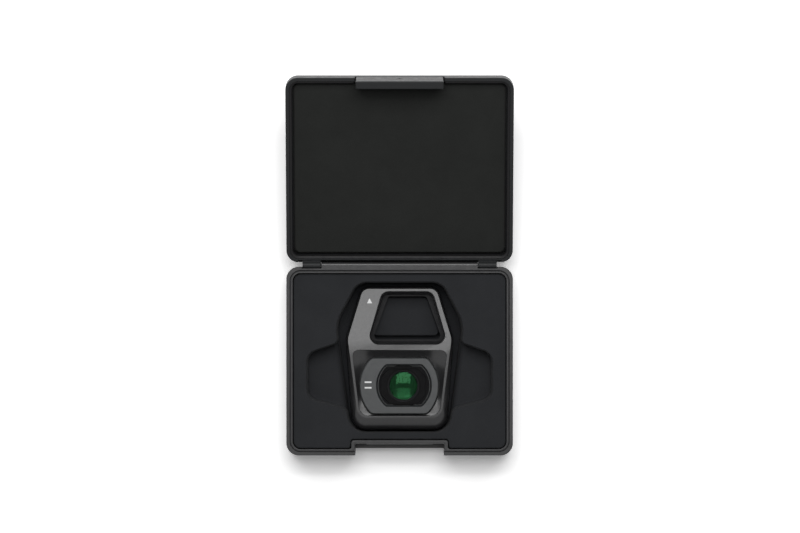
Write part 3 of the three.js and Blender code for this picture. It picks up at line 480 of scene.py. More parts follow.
def ringed(name, colour, rough, level, metallic=0.2, pitch=0.16, depth=0.01):
    """Turned and anodised metal: fine tool rings about an axis."""
    n = Nodes(name)
    mapping = n.add("ShaderNodeMapping", Location=(-AXIS[0] * MM, -AXIS[1] * MM, 0))
    n.link(n.coords, mapping.inputs["Vector"])
    wave = n.add("ShaderNodeTexWave", wave_type="RINGS", rings_direction="Z", wave_profile="SIN",
                 Scale=1 / (pitch * MM) / RINGS_TO_SCALE, Distortion=0.4, Detail=2.0)
    n.link(mapping.outputs["Vector"], wave.inputs["Vector"])
    fine = n.noise(0.2, detail=4, rough=0.65)
    n.link(n.tones(fine, colour, 0.9, 1.15), n.shader.inputs["Base Color"])
    n.link(n.ramp(fine, rough - 0.05, rough + 0.07), n.shader.inputs["Roughness"])
    n.link(n.bump(wave.outputs["Fac"], depth, under=n.bump(fine, 0.005)), n.shader.inputs["Normal"])
    n.set(Metallic=metallic, Specular_IOR_Level=level)
    return n.material


def coated_glass(name, tint, body, ior, rough=0.05, smeared=0.012):
    """Optical glass with a coating that reflects one hue. Faint smears break the gloss."""
    n = Nodes(name)
    smear = n.noise(4, detail=5, rough=0.6, distortion=0.6)
    n.link(n.ramp(smear, rough, rough + smeared, 0.45, 0.75), n.shader.inputs["Roughness"])
    n.link(n.tones(smear, body, 1, 0.93), n.shader.inputs["Base Color"])
    n.set(Transmission_Weight=1.0, IOR=ior)
    n.shader.inputs["Specular Tint"].default_value = (*tint, 1)
    return n.material


shell_grey = moulded("shell_grey", srgb(34, 34, 35), rough=0.44, grain=0.3, depth=0.012, level=0.36)
# The hinge barrel is the shell's plastic. Its colour is darkened as painted shade, and its higher gloss
# gives the real thin highlight along its crest.
shaded_barrel_grey = moulded("shaded_barrel_grey", srgb(22, 22, 23), rough=0.2, grain=0.3, depth=0.004, level=0.5)
lid_grey = moulded("lid_grey", srgb(36, 37, 38), rough=0.36, grain=0.3, depth=0.012, level=0.14)
lining_black = moulded("lining_black", srgb(28, 28, 29), rough=0.45, grain=0.3, depth=0.012, level=0.14)
tray_foam = foam("tray_foam", srgb(40, 41, 43), rough=0.85, cell=0.4, depth=0.02, level=0.1, sheen=0.02)
pad_foam = foam("pad_foam", srgb(37, 38, 37), rough=0.9, cell=0.3, depth=0.02, level=0.08, sheen=0.02)
frame_coat = blasted("frame_coat", srgb(35, 35, 36), rough=0.28, level=0.46)
hood_coat = moulded("hood_coat", srgb(46, 48, 49), rough=0.42, grain=0.2, depth=0.008, level=0.42)
satin_black = moulded("satin_black", srgb(22, 22, 24), rough=0.5, grain=0.2, depth=0.008, level=0.15)
matt_black = moulded("matt_black", srgb(16, 16, 17), rough=0.7, grain=0.15, depth=0.006, level=0.08)
barrel_black = ringed("barrel_black", srgb(16, 16, 18), rough=0.4, level=0.12)
ring_black = ringed("ring_black", srgb(24, 24, 26), rough=0.38, level=0.14)
soft_rubber = moulded("soft_rubber", srgb(20, 20, 21), rough=0.8, grain=0.5, depth=0.02, level=0.1)
bright_steel = drawn_steel("bright_steel", srgb(170, 172, 175))
dark_steel = drawn_steel("dark_steel", srgb(58, 58, 60), rough=0.4)
front_glass = coated_glass("front_glass", (0.25, 1.0, 0.42), srgb(176, 186, 178), 1.3)
inner_glass = coated_glass("inner_glass", (0.2, 1.0, 0.5), srgb(120, 150, 130), 1.18)
rear_glass = coated_glass("rear_glass", (0.3, 0.9, 0.6), srgb(160, 172, 164), 1.15)
print_white = moulded("print_white", srgb(215, 216, 216), rough=0.6, grain=0.15, depth=0.004, level=0.2)


# The case, drawn shut.
HALF_X, HALF_Y = 41.0, 34.15
BASE_TOP, LID_RIM, LID_TOP = 18.0, 18.3, 25.6
FLOOR_TOP, TRAY_TOP = 1.4, 17.6
CASE_ARC = 16
OUTER_CORNER, INNER_CORNER, LEAST_CORNER = 4.5, 5.2, 1.1
WALL = 1.28
NOTCH_X, NOTCH_Y = 16.1, -29.95
NOTCH_LOW, NOTCH_HIGH = 10.5, 19.2
FRONT = -HALF_Y
OVER = 1.0  # what a cutter runs past the piece


def case(inset, corner=OUTER_CORNER):
    return rect(HALF_X - inset, HALF_Y - inset, max(corner - inset, LEAST_CORNER))


def case_outline(inset, corner=OUTER_CORNER):
    return outline(case(inset, corner), CASE_ARC)


def pin_hole():
    return rod(PIN_HOLE, -HALF_X, HALF_X, steps=32)


def notched(inset, around, radius):
    """The plan at an inset, running round the notch at a distance from its void."""
    x, y = HALF_X - inset, HALF_Y - inset
    corner = max(INNER_CORNER - inset, LEAST_CORNER)
    side, top = NOTCH_X + around, NOTCH_Y + around
    return [
        (x, -y, corner), (x, y, corner), (-x, y, corner), (-x, -y, corner),
        (-side, -y, radius), (-side, top, radius), (side, top, radius), (side, -y, radius),
    ]


def notch_block(around, low, high):
    top, bottom = NOTCH_Y + around, FRONT - OVER
    plan = rect(NOTCH_X + around, (top - bottom) / 2, 0.5, 0, (top + bottom) / 2)
    return prism(outline(plan, 6), low, high)


def closed_loft(rings, name):
    """A hollow ring: its sections close on themselves."""
    count, faces = len(rings[0]), []
    for s in range(len(rings)):
        t = (s + 1) % len(rings)
        for i in range(count):
            j = (i + 1) % count
            faces.append((s * count + i, s * count + j, t * count + j, t * count + i))
    return make(name, np.concatenate(rings), faces)


def base_shell():
    foot, rim = 1.2, 0.3
    shell = loft(
        [at(case_outline(i), foot - r) for i, r in reversed(quarter(foot, 8))]
        + [at(case_outline(i), BASE_TOP - rim + r) for i, r in quarter(rim, 4)],
        "shell_of_base",
    )
    cavity = prism(case_outline(WALL, INNER_CORNER), FLOOR_TOP, NOTCH_HIGH)
    notch_wall, notch_wall_top = 0.6, 10.9
    cut(cavity, notch_block(notch_wall, -OVER, notch_wall_top))
    below_back, below_top = -31.85, 11
    below = block((-NOTCH_X, FRONT - OVER, -OVER), (NOTCH_X, below_back, below_top))
    cut(shell, notch_block(0, NOTCH_LOW, NOTCH_HIGH), below, cavity)
    room_end = 35.4
    cut(shell, rod(KNUCKLE_ROOM, BARREL_END, room_end), rod(KNUCKLE_ROOM, -room_end, -BARREL_END))
    return soften(tidy(shell), 0.12, 2, 30)


def middle_barrel():
    """The base's part of the hinge. Its crest is level with the rim."""
    barrel = rod(BARREL_RADIUS, -BARREL_END, BARREL_END, z=BARREL_Z, edge=0.1, name="barrel_of_hinge")
    cut(barrel, pin_hole())
    return soften(tidy(barrel), 0, limit=40)


def hinge_web():
    """Carries the middle barrel on the base's rear wall."""
    top, end = BARREL_Z + BARREL_RADIUS - 0.02, BARREL_END - 0.1
    profile = [(33.2, top), (33.2, 14.9), (34.1, 14.6), (35.0, 16.1), (34.72, top)]
    web = cross_prism(profile, -end, end, "web_of_hinge")
    cut(web, pin_hole())
    return soften(tidy(web), 0.05, 2, 30)


def base_lip():
    """The lining's raised lip, as (inset, distance round the notch, height). Its outer side slants."""
    profile = [
        (1.3, 0.05, FLOOR_TOP), (1.3, 0.05, 17.98), (1.35, 0.06, 18.1), (1.62, 0.1, 18.62),
        (1.7, 0.16, 18.75), (1.82, 0.26, 18.8), (2.2, 1.22, 18.8), (2.3, 1.34, 18.75),
        (2.34, 1.4, 18.62), (2.34, 1.4, FLOOR_TOP),
    ]
    rings = [at(outline(notched(inset, around, 0.5 + 0.3 * around), 12), z) for inset, around, z in profile]
    lip = closed_loft(rings, "lip_of_base")
    catch = [(-29.65, 11.9), (-29.65, 13.1), (NOTCH_Y, 13.1), (-30.45, 12.5), (NOTCH_Y, 11.9)]
    catch_end = 12
    join(lip, cross_prism(catch, -catch_end, catch_end))
    return soften(tidy(lip, 0), 0, limit=50)


# The tray. Its hollow is one plan of the lens's recess and the two finger recesses.
RECESS = [(18.6, -26.4, 7.0), (23.74, 13.68, 14.0), (15.67, 29.05, 6.5)]
HOLLOW = [
    (18.6, -26.4, 7.0), (19.45, -17.7, 2.6), (34.05, -13.97, 5.0), (34.05, 3.1, 5.0),
    (22.85, 7.0, 1.4), (23.74, 13.68, 14.0), (15.67, 29.05, 6.5),
]
FACE = [(15.1, -20.6, 4.5), (18.78, 8.05, 7.0), (13.25, 26.1, 3.0)]


def skirt(distance):
    right = offset(mirrored(FACE), 0.62)[:3]
    right[0] = (17.0, -25.0, 5.0)
    return offset(mirrored(right), distance)


def hollow(corners, profile, arc=14):
    return loft([at(outline(offset(corners, -d), arc), z) for d, z in profile])


RECESS_FLOOR, FINGER_FLOOR = 4.6, 9.9
PLINTH = [(14.8, 9.0, 1.6), (10.05, 22.9, 1.6), (-5.55, 22.9, 1.6), (-10.3, 9.0, 1.6)]
PLINTH_FOOT, PLINTH_TOP, PLINTH_EDGE = 2.4, 6.6, 0.5
WINDOW = [(17.45, 5.93, 3.3), (11.92, 25.12, 3.0), (-6.22, 25.12, 3.0), (-11.82, 5.93, 3.3)]
WINDOW_REAR = [(16.9, 7.3, 1.8), (11.3, 23.7, 1.8), (-5.6, 23.7, 1.8), (-11.2, 7.3, 1.8)]


def lens_tray():
    plan, edge = notched(2.56, 1.62, 1.0), 0.45
    tray = loft(
        [at(outline(plan, 12), FLOOR_TOP)]
        + [at(outline(offset(plan, -i), 12), TRAY_TOP - edge + r) for i, r in quarter(edge, 5)],
        "soft_tray",
    )
    roll, lean, toe = 0.35, 0.45, 1.0
    foot = roll + lean
    turn = np.linspace(0, math.pi / 2, 7)
    upper = hollow(
        mirrored(HOLLOW),
        [(foot + toe * (1 - math.sin(a)), FINGER_FLOOR + toe * (1 - math.cos(a))) for a in turn]
        + [(roll - i, TRAY_TOP - roll + r) for i, r in quarter(roll, 6)]
        + [(0, TRAY_TOP + OVER)],
    )
    inner_lean, inner_toe, shoulder, past, seat_past = 0.15, 0.6, 2.3, 0.8, 0.5
    deep = hollow(
        mirrored(RECESS),
        [(foot + inner_lean + inner_toe * (1 - math.sin(a)), RECESS_FLOOR + inner_toe * (1 - math.cos(a)))
         for a in turn]
        + [(foot - shoulder * (1 - math.cos(a)), FINGER_FLOOR - shoulder + shoulder * math.sin(a))
           for a in turn[1:]]
        + [(foot - shoulder, FINGER_FLOOR + past)],
    )
    within_low, within_high = 2, 13
    common(deep, prism(outline(offset(mirrored(HOLLOW), -foot), 14), within_low, within_high))
    # The lens's rear rim stands in a seat below the recess's floor.
    seat_room = 0.35
    seat = prism(outline(skirt(seat_room), 14), LENS_LIFT, RECESS_FLOOR + seat_past)
    cut(tray, upper, deep, seat)
    plinth = loft([at(outline(PLINTH, 10), PLINTH_FOOT)] + [
        at(outline(offset(PLINTH, -i), 10), PLINTH_TOP - PLINTH_EDGE + r) for i, r in quarter(PLINTH_EDGE, 5)
    ])
    join(tray, plinth)
    return soften(tidy(tray, 0.3), 0, limit=38)


LID_ROOF = 24.2


def tab_seat():
    """The room that the latch tab takes in the lid's front wall."""
    return block((-NOTCH_X, FRONT - OVER, 16.3), (NOTCH_X, -30.9, 20.8))


def lid_shell():
    rim, shoulder = 0.25, 3.0
    shell = loft(
        [at(case_outline(i), LID_RIM + rim - r) for i, r in reversed(quarter(rim, 4))]
        + [at(case_outline(i), LID_TOP - shoulder + r) for i, r in quarter(shoulder, 10)],
        "shell_of_lid",
    )
    cavity = prism(case_outline(WALL), LID_RIM - 1.3, LID_ROOF)
    chamfer_end = 37
    chamfer = cross_prism([(33.0, 18.2), (34.4, 18.2), (34.4, 19.2)], -chamfer_end, chamfer_end)
    cut(shell, cavity, tab_seat(), chamfer)
    # Each knuckle's heel meets the base's rear wall when the lid is open.
    short, drop, heel_top = math.pi - OPEN, 0.3, 2.2
    heel = (drop + heel_top * math.sin(short)) / math.cos(short)
    touch = math.sqrt(KNUCKLE_RADIUS ** 2 - drop ** 2)
    fairing = [
        (-0.8839, 0.8839), (0, 0),
        (drop * math.cos(short) + touch * math.sin(short), touch * math.cos(short) - drop * math.sin(short)),
        (heel, heel_top), (-0.6, 3.8), (-1.3, 3.8), (-1.3, 1.3),
    ]
    fairing = [(HINGE_Y + y, HINGE_Z + z) for y, z in fairing]
    for ends in ((KNUCKLE_START, KNUCKLE_END), (-KNUCKLE_END, -KNUCKLE_START)):
        join(shell, rod(KNUCKLE_RADIUS, *ends, edge=0.1), cross_prism(fairing, *ends))
    cut(shell, rod(KNUCKLE_ROOM, -KNUCKLE_START, KNUCKLE_START), pin_hole())
    return soften(tidy(shell), 0.12, 2, 30)


def lid_lining():
    """The lining, as (inset past its outer side, height). Its edge slants towards the pad."""
    profile = [(0, LID_ROOF), (0, 19.12), (0.06, 19.06), (0.84, 19.36), (0.9, 19.44), (0.92, 19.54),
               (0.92, LID_ROOF)]
    inset = 1.3
    ring = closed_loft([at(case_outline(inset + d), z) for d, z in profile], "lining_of_lid")
    cut(ring, tab_seat(), block((-16.5, FRONT - OVER, 18.3), (16.5, -31.5, 21.3)))
    return soften(tidy(ring), 0, limit=40)


def lid_pad():
    """A foam panel whose face rises a little towards the middle."""
    inset = 2.8
    plan = rect(HALF_X - inset, HALF_Y - inset, 2.2)
    face, edge, swell, swell_reach = 21.3, 0.7, 0.22, 12
    profile = [(0, LID_ROOF), (0, face + swell + edge)]
    profile += [(i, face + swell + edge - r) for i, r in quarter(edge, 7)[1:]]
    for d in (1.6, 2.6, 4.0, 6.0, 9.0, 13.0, 18.0):
        share = min((d - edge) / swell_reach, 1)
        profile.append((d, face + swell * (1 - share) ** 2))
    sections = [at(outline(offset(plan, -d), 14), z) for d, z in profile]
    return soften(tidy(loft(sections[::-1], "foam_pad"), 0), 0, limit=60)


def latch_tab():
    half_wide, thick, corner, low_end, top, edge = 15.7, 2.85, 0.6, 12, 20.4, 0.4
    plan = rect(half_wide, thick / 2, corner, 0, FRONT + thick / 2)
    tab = loft(
        [at(outline(offset(plan, -i), 8), low_end + edge - r) for i, r in reversed(quarter(edge, 5))]
        + [at(outline(plan, 8), top)],
        "tab_of_latch",
    )
    bead = [(-31.9, 15.4), (-31.9, 14.2), (-31.3, 14.2), (-30.9, 14.8), (-31.3, 15.4)]
    bead_end = 14.5
    join(tab, cross_prism(bead, -bead_end, bead_end))
    mark_z, mark_depth, overrun = 16.8, 0.28, 0.5
    mark = np.array([(-1.4, -0.55), (1.4, -0.55), (0, 0.55)]) + (0, mark_z)
    low, high = FRONT - overrun, FRONT + mark_depth
    points = [(x, low, z) for x, z in mark] + [(x, high, z) for x, z in mark]
    arrow = make("cutter", points, [(0, 1, 2), (5, 4, 3), (0, 3, 4, 1), (1, 4, 5, 2), (2, 5, 3, 0)])
    cut(tab, tidy(arrow, 0))
    return soften(tidy(tab), 0.08, 2, 34)


# The lens, in its own frame: its rear rim is at height 0.
FACE_Z = 14.0
HOOD = (-0.16, -8.95, 14.17, 10.03, 2.4)
APERTURE = (1.56, -8.8, 10.0, 7.65, 1.7)
HOOD_SEAT, HOOD_TOP = 8.9, 15.5


def o_shape(form, grow, steps=36, turn_steps=8):
    """A circle with its top and bottom cut off, as (x, y, radius, half height, corner radius)."""
    x, y, radius, half, corner = form
    radius, half, corner = radius + grow, half + grow, max(corner + grow, 0.2)
    inner = radius - corner
    reach = math.asin((half - corner) / inner)
    points = []
    for side in (0, math.pi):
        near, top, far = side + reach, side + math.pi / 2, side + math.pi - reach
        for k in range(steps + 1):
            t = side - reach + 2 * reach * k / steps
            points.append((x + radius * math.cos(t), y + radius * math.sin(t)))
        for k in range(1, turn_steps + 1):
            t = near + (top - near) * k / turn_steps
            points.append((x + inner * math.cos(near) + corner * math.cos(t),
                           y + inner * math.sin(near) + corner * math.sin(t)))
        for k in range(turn_steps):
            t = top + (far - top) * k / turn_steps
            points.append((x + inner * math.cos(far) + corner * math.cos(t),
                           y + inner * math.sin(far) + corner * math.sin(t)))
    return np.array(points)


SLOPE_START, SLOPE_BEND, SLOPE = 3.0, 5.0, math.tan(math.radians(8))


def face_height(y):
    """Level at the hood, then bending into a slope towards the window's end."""
    past = np.maximum(np.asarray(y, float) - SLOPE_START, 0)
    blend = np.minimum(past, SLOPE_BEND)
    return FACE_Z - SLOPE * blend ** 2 / (2 * SLOPE_BEND) - SLOPE * (past - blend)


CROWN_IN, CROWN_START, CROWN_RISE, CROWN_TOP = 0.3, 0.5, 0.77, 0.85


def crown(steps):
    """Shares of the way in to the face and up to it, on one curve that leaves the side upright."""
    ways = []
    for t in np.linspace(0, 1, steps + 1):
        s = 1 - t
        inwards = 3 * s * t * t * CROWN_IN + t ** 3
        up = s ** 3 * CROWN_START + 3 * s * s * t * CROWN_RISE + 3 * s * t * t * CROWN_TOP + t ** 3
        ways.append((inwards, up))
    return ways


def frame_form(wall, roof, bottom, shoulder, rounds=10):
    low = outline(skirt(-wall), 10, 14)
    high = outline(offset(mirrored(FACE), -wall), 10, 14)
    sections = [at(low, bottom)]
    for inward, rise in crown(rounds):
        plan = low + (high - low) * inward
        top = face_height(high[:, 1]) - roof
        sections.append(at(plan, shoulder + (top - shoulder) * rise))
    return loft(sections, "body_of_frame", across=True)


def resampled(points, steps=240):
    """A plan cut by even rays from the hood's centre, so that two plans can be lofted together."""
    centre = np.array(HOOD[:2])
    start, end = points, np.roll(points, -1, axis=0)
    edge, gap = end - start, start - centre
    made = []
    for k in range(steps):
        t = 2 * math.pi * k / steps
        ray = np.array([math.cos(t), math.sin(t)])
        turn = ray[0] * edge[:, 1] - ray[1] * edge[:, 0]
        turn = np.where(np.abs(turn) < 1e-12, 1e-12, turn)
        along = (gap[:, 0] * ray[1] - gap[:, 1] * ray[0]) / turn
        reach = (gap[:, 0] * edge[:, 1] - gap[:, 1] * edge[:, 0]) / turn
        good = (along >= -1e-9) & (along <= 1 + 1e-9)
        made.append(centre + ray * reach[good].max())
    return np.array(made)


def on_face(points, rise=0.0):
    return at(points, face_height(points[:, 1]) + rise)


POCKET = [(14.3, -19.8, 3.5), (17.15, 4.0, 2.2), (-17.15, 4.0, 2.2), (-14.3, -19.8, 3.5)]
SCREWS = [(-10.6, 21.8), (-14.2, 9.6), (-12.3, -21.2), (12.3, -21.2)]


def front_frame():
    rear, soft, past = 5.78, 0.28, 17
    frame_mesh = cut(
        frame_form(wall=0, roof=0, bottom=1.0, shoulder=5.5, rounds=14),
        frame_form(wall=1.4, roof=4.8, bottom=0.0, shoulder=rear, rounds=8),
    )
    wall_mouth = outline(offset(WINDOW, 1.1))
    wall = loft([at(outline(offset(WINDOW_REAR, 0.6)), rear - 0.01), on_face(wall_mouth, -0.4)])
    join(frame_mesh, wall)
    boss, boss_roof, bore, bore_top = 1.25, 1.2, 0.62, 8.78
    for x, y in SCREWS:
        join(frame_mesh, prism(circle(x, y, boss, 48), rear + 0.02, float(face_height(y)) - boss_roof))
    window = [at(outline(WINDOW_REAR), rear - OVER)]
    window += [on_face(outline(offset(WINDOW, i)), r - soft) for i, r in quarter(soft, 5)]
    window.append(at(outline(offset(WINDOW, soft)), past))
    # The bowl round the hood is shallow at its front and deeper towards the window.
    hole = resampled(o_shape(HOOD, 0.5))
    mouth = resampled(outline(POCKET, 12))
    lip_out = resampled(outline(offset(POCKET, soft), 12))
    front_depth, more_depth, front_y, reach, dish, steps = 0.45, 1.3, -18, 16, 1.25, 12
    share = np.clip((hole[:, 1] - front_y) / reach, 0, 1)
    rim = FACE_Z - front_depth - more_depth * share ** 2 * (3 - 2 * share)
    bowl = [at(hole, 7.9), at(hole, rim)]
    for k in range(1, steps + 1):
        t = k / steps
        plan = hole + (mouth - hole) * t
        bowl.append(at(plan, rim + (face_height(mouth[:, 1]) - soft - rim) * t ** dish))
    for i, r in quarter(soft, 5)[1:]:
        bowl.append(on_face(mouth + (lip_out - mouth) * (i / soft), r - soft))
    bowl.append(at(lip_out, past))
    cut(frame_mesh, loft(window), loft(bowl))
    for x, y in SCREWS:
        cut(frame_mesh, prism(circle(x, y, bore, 32), 1, bore_top))
    return soften(tidy(frame_mesh, 0.25), 0, limit=34)


def hood_bezel():
    outer_edge, inner_edge, flange = 0.32, 0.25, 0.7
    hood = loft(
        [at(o_shape(HOOD, 0), HOOD_SEAT)]
        + [at(o_shape(HOOD, -i), HOOD_TOP - outer_edge + r) for i, r in quarter(outer_edge, 5)],
        "hood_shell",
    )
    join(hood, prism(o_shape(HOOD, flange), HOOD_SEAT - 0.7, HOOD_SEAT))
    opening = loft(
        [at(o_shape(APERTURE, -0.5), 12.7)]
        + [at(o_shape(APERTURE, i), HOOD_TOP - inner_edge + r) for i, r in quarter(inner_edge, 5)]
        + [at(o_shape(APERTURE, inner_edge), HOOD_TOP + OVER)]
    )
    barrel_room = prism(circle(*AXIS, 7.86), 7.2, 13.7)
    cut(hood, opening, barrel_room)
    return soften(tidy(hood, 0.2), 0, limit=36)


def hood_baffle():
    plate = loft([at(o_shape(APERTURE, -0.8), 12.78), at(o_shape(APERTURE, -0.8), 13.8),
                  at(o_shape(APERTURE, -0.88), 13.88)], "stepped_baffle")
    x, y = AXIS
    wide, tall, corner_x, corner_y = 8.1, 6.2, 5.1, 3.2
    bars = [
        (wide, -corner_y), (wide, corner_y), (corner_x, tall), (-corner_x, tall),
        (-wide, corner_y), (-wide, -corner_y), (-corner_x, -tall), (corner_x, -tall),
    ]
    bars = [(x + a, y + b, 0.7) for a, b in bars]
    mouth = loft([at(outline(bars, 6), 13.33), at(outline(offset(bars, 0.3), 6), 15)])
    throat = loft([at(circle(*AXIS, r), z) for r, z in ((5.8, 12), (5.8, 13.05), (6.3, 13.55))])
    cut(plate, mouth, throat)
    return soften(tidy(plate, 0.3), 0.05, 2, 34)


def cap_arc(clear, height, sag, steps=14):
    """A spherical cap from the axis to the clear radius, as (radius, z). A plus sag rises to the axis."""
    radius = (clear ** 2 + sag ** 2) / (2 * abs(sag))
    points = []
    for k in range(steps + 1):
        r = clear * k / steps
        drop = radius - math.sqrt(radius ** 2 - r ** 2)
        points.append((r, height + sag - math.copysign(drop, sag)))
    return points


def lens_element(name, low, high, radius, clear, front_sag, rear_sag):
    rear = cap_arc(clear, low, rear_sag)
    front = cap_arc(clear, high, front_sag)
    edge = 0.1
    side = [(radius - edge, low), (radius, low + edge), (radius, high - edge), (radius - edge, high)]
    return soften(tidy(turned(rear + side + front[::-1], *AXIS, name), 0), 0, limit=30)


def lens_barrel():
    profile = [
        (5.45, 5.66), (7.68, 5.66), (7.8, 5.78), (7.8, 12.38), (7.68, 12.5), (6.37, 12.5), (6.25, 12.38),
        (6.25, 8.38), (4.6, 8.38), (4.6, 7.88), (5.45, 7.88),
    ]
    return soften(tidy(turned(profile, *AXIS, "turned_barrel"), 0), 0, limit=30)


def front_ring():
    profile = [
        (5.07, 11.4), (6.19, 11.4), (6.19, 12.32), (6.11, 12.4), (5.75, 12.4), (5.68, 12.33),
        (5.5, 12.33), (5.42, 12.26), (5.07, 11.95),
    ]
    ring = turned(profile, *AXIS, "slotted_ring")
    slot_reach, slot, slot_low, slot_high = 5.95, 0.35, 12.1, 12.8
    for side in (1, -1):
        x, y = AXIS[0] + side * slot_reach, AXIS[1]
        cut(ring, block((x - slot, y - slot, slot_low), (x + slot, y + slot, slot_high)))
    return soften(tidy(ring, 0.2), 0, limit=30)


def rear_gasket():
    low, high = 4.13, 4.73
    inner, outer = 6.9, 8.0
    profile = [
        (inner, low + 0.3), (7.15, low + 0.12), (7.45, low), (7.75, low + 0.12), (outer, low + 0.3),
        (outer, high), (inner, high),
    ]
    return soften(tidy(turned(profile, *AXIS, "lip_gasket"), 0), 0, limit=50)


def face_mark(points, name, height, sunk=0.05, proud=0.03):
    low, high = at(points, height - sunk), at(points, height + proud)
    return soften(tidy(loft([low, high], name), 0), 0, limit=50)


place(base_shell(), "case_base", shell_grey, "base_shell")
# The barrel's darker colour is painted shade.
place(middle_barrel(), "case_base", shaded_barrel_grey)
place(hinge_web(), "case_base", shell_grey)
place(base_lip(), "case_base", shell_grey, "base_inner_frame")
tray = place(lens_tray(), "case_base", tray_foam, "lens_tray")
place(lid_shell(), "lid", lid_grey, "lid_shell")
place(lid_lining(), "lid", lining_black, "lid_inner_frame")
pad = place(lid_pad(), "lid", pad_foam, "lid_pad")
place(latch_tab(), "lid", lid_grey, "latch_tab")
place(front_frame(), "lens", frame_coat, "front_frame")
place(hood_bezel(), "lens", hood_coat, "hood_bezel")
place(hood_baffle(), "lens", matt_black, "hood_baffle")
place(lens_barrel(), "lens", barrel_black, "lens_barrel")
place(front_ring(), "lens", ring_black, "front_retaining_ring")
# Name, rear and front height, radius, clear radius, front and rear sag, material, solid that it stands for.
ELEMENTS = [
    ("front_glass_piece", 10.12, 11.32, 6.19, 5.01, 0.62, -0.4, front_glass, "front_element"),
    ("middle_glass_piece", 8.46, 9.26, 6.19, 4.54, -0.3, -0.3, inner_glass, "middle_element"),
    ("rear_glass_piece", 6.42, 7.22, 5.39, 3.84, 0.25, 0.25, rear_glass, "rear_element"),
]
for *form, glass, solid in ELEMENTS:
    place(lens_element(*form), "lens", glass, solid)
place(rear_gasket(), "lens", soft_rubber, "rear_gasket")
arrow = np.array([(-11.85, 20.9), (-9.95, 20.9), (-10.9, 22.7)])
place(face_mark(arrow, "mark_on_frame", face_height(arrow[:, 1])), "lens", print_white)
for number, y in enumerate((-7.6, -9.6)):
    tick = outline(rect(1.25, 0.28, 0.12, -11.4, y), 4)
    place(face_mark(tick, f"index_tick_{number + 1}", HOOD_TOP), "lens", print_white)


# The solids that keep their own mesh get a material, merged faces and small rounded edges.
def dress(node, material, bevel=0.08):
    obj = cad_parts[node]
    obj.data.materials.clear()
    obj.data.materials.append(material)
    weld = obj.modifiers.new("weld", "WELD")
    weld.merge_threshold = WELD
    flat = obj.modifiers.new("flat", "DECIMATE")
    flat.decimate_type = "DISSOLVE"
    flat.angle_limit = math.radians(1)
    edge = obj.modifiers.new("edge", "BEVEL")
    edge.width = bevel * MM
    edge.segments = 2
    edge.limit_method = "ANGLE"
    edge.angle_limit = math.radians(38)
    edge.use_clamp_overlap = True
    obj.data.polygons.foreach_set("use_smooth", [True] * len(obj.data.polygons))
    weight = obj.modifiers.new("normals", "WEIGHTED_NORMAL")
    weight.keep_sharp = True


dressed = {
    "hinge_pin": dark_steel,
    "rear_carrier": satin_black,
    "front_spacer": matt_black,
    "rear_spacer": matt_black,
    "rear_retaining_ring": ring_black,
    "snap_clip_left": bright_steel,
    "snap_clip_right": bright_steel,
    "carrier_screw_1": bright_steel,
    "carrier_screw_2": bright_steel,
    "carrier_screw_3": bright_steel,
    "carrier_screw_4": bright_steel,
}
for node, material in dressed.items():
    dress(node, material)


# Camera, floor and light.
camera = bpy.data.objects.new("camera", bpy.data.cameras.new("camera"))
camera.data.lens = 174.1
camera.data.sensor_width = 36
camera.data.clip_end = 10
camera.location = (0.00014, 0.03424, 1.418)
bpy.context.scene.collection.objects.link(camera)
bpy.context.scene.camera = camera
bpy.context.scene.view_settings.view_transform = "Standard"

# Lamps, in metres and watts. The white world is seen directly, and lights the object as a weak fill.
KEY_SIZE, KEY_PLACE, KEY_POWER = (0.5, 0.36), (0.0, 0.23, 0.93), 3.4
REAR_SIZE, REAR_PLACE, REAR_POWER = (1.1, 0.4), (0.0, 0.515, 0.857), 5.2
AIM = (0, 0.01, 0.01)
FILL, WHITE = 0.19, 1.0

# The floor's base colour for light and to the eye, and its glow near the object and away from it.
FLOOR_HALF, FLOOR_DEPTH = 3000, 20
FLOOR_LIT, FLOOR_SEEN = 0.82, 1.35
GLOW_NEAR, GLOW_FAR, GLOW_START, GLOW_END = 0.12, 0.85, 0.2, 0.5


def seen_directly(tree):
    """1 for camera, glossy and transmission rays, and 0 for the others."""
    path = tree.nodes.new("ShaderNodeLightPath")
    either = path.outputs["Is Camera Ray"]
    for kind in ("Is Glossy Ray", "Is Transmission Ray"):
        node = tree.nodes.new("ShaderNodeMath")
        node.operation = "MAXIMUM"
        tree.links.new(either, node.inputs[0])
        tree.links.new(path.outputs[kind], node.inputs[1])
        either = node.outputs[0]
    return either


def ranged(tree, value, low, high):
    """A value between 0 and 1 made to run from low to high."""
    node = tree.nodes.new("ShaderNodeMapRange")
    node.inputs["To Min"].default_value = low
    node.inputs["To Max"].default_value = high
    tree.links.new(value, node.inputs["Value"])
    return node


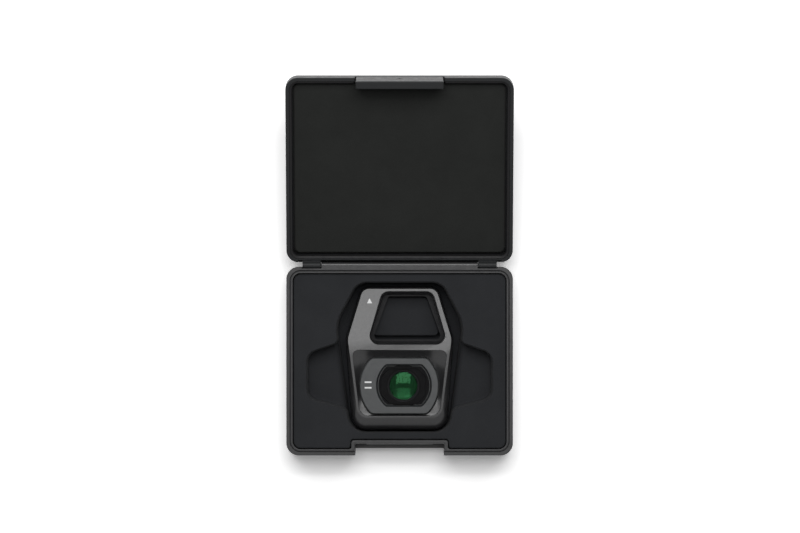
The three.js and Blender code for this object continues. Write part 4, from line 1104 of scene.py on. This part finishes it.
floor = block((-FLOOR_HALF, -FLOOR_HALF, -FLOOR_DEPTH), (FLOOR_HALF, FLOOR_HALF, 0), "floor")
floor_paint = bpy.data.materials.new("floor_paint")
floor_paint.use_nodes = True
tree = floor_paint.node_tree
body = tree.nodes["Principled BSDF"]
body.inputs["Roughness"].default_value = 0.95
body.inputs["Specular IOR Level"].default_value = 0.0
body.inputs["Emission Color"].default_value = (1, 1, 1, 1)
seen = seen_directly(tree)
spot = tree.nodes.new("ShaderNodeNewGeometry")
span = tree.nodes.new("ShaderNodeVectorMath")
span.operation = "LENGTH"
tree.links.new(spot.outputs["Position"], span.inputs[0])
glow = ranged(tree, span.outputs["Value"], GLOW_NEAR, GLOW_FAR)
glow.interpolation_type = "SMOOTHSTEP"
glow.inputs["From Min"].default_value = GLOW_START
glow.inputs["From Max"].default_value = GLOW_END
lift = tree.nodes.new("ShaderNodeMath")
lift.operation = "MULTIPLY"
tree.links.new(seen, lift.inputs[0])
tree.links.new(glow.outputs["Result"], lift.inputs[1])
tree.links.new(lift.outputs[0], body.inputs["Emission Strength"])
tree.links.new(ranged(tree, seen, FLOOR_LIT, FLOOR_SEEN).outputs["Result"], body.inputs["Base Color"])
floor.data.materials.append(floor_paint)

world = bpy.data.worlds.new("studio")
bpy.context.scene.world = world
world.use_nodes = True
tree = world.node_tree
ground = tree.nodes["Background"]
ground.inputs["Color"].default_value = (1, 1, 1, 1)
tree.links.new(ranged(tree, seen_directly(tree), FILL, WHITE).outputs["Result"], ground.inputs["Strength"])


def softbox(name, size, place_at, power):
    light = bpy.data.lights.new(name, "AREA")
    light.shape = "RECTANGLE"
    light.size, light.size_y = size
    light.energy = power
    obj = bpy.data.objects.new(name, light)
    obj.location = place_at
    obj.rotation_euler = (Vector(AIM) - Vector(place_at)).to_track_quat("-Z", "Y").to_euler()
    bpy.context.scene.collection.objects.link(obj)
    return obj


softbox("key", KEY_SIZE, KEY_PLACE, KEY_POWER)
softbox("rear_key", REAR_SIZE, REAR_PLACE, REAR_POWER).visible_glossy = False
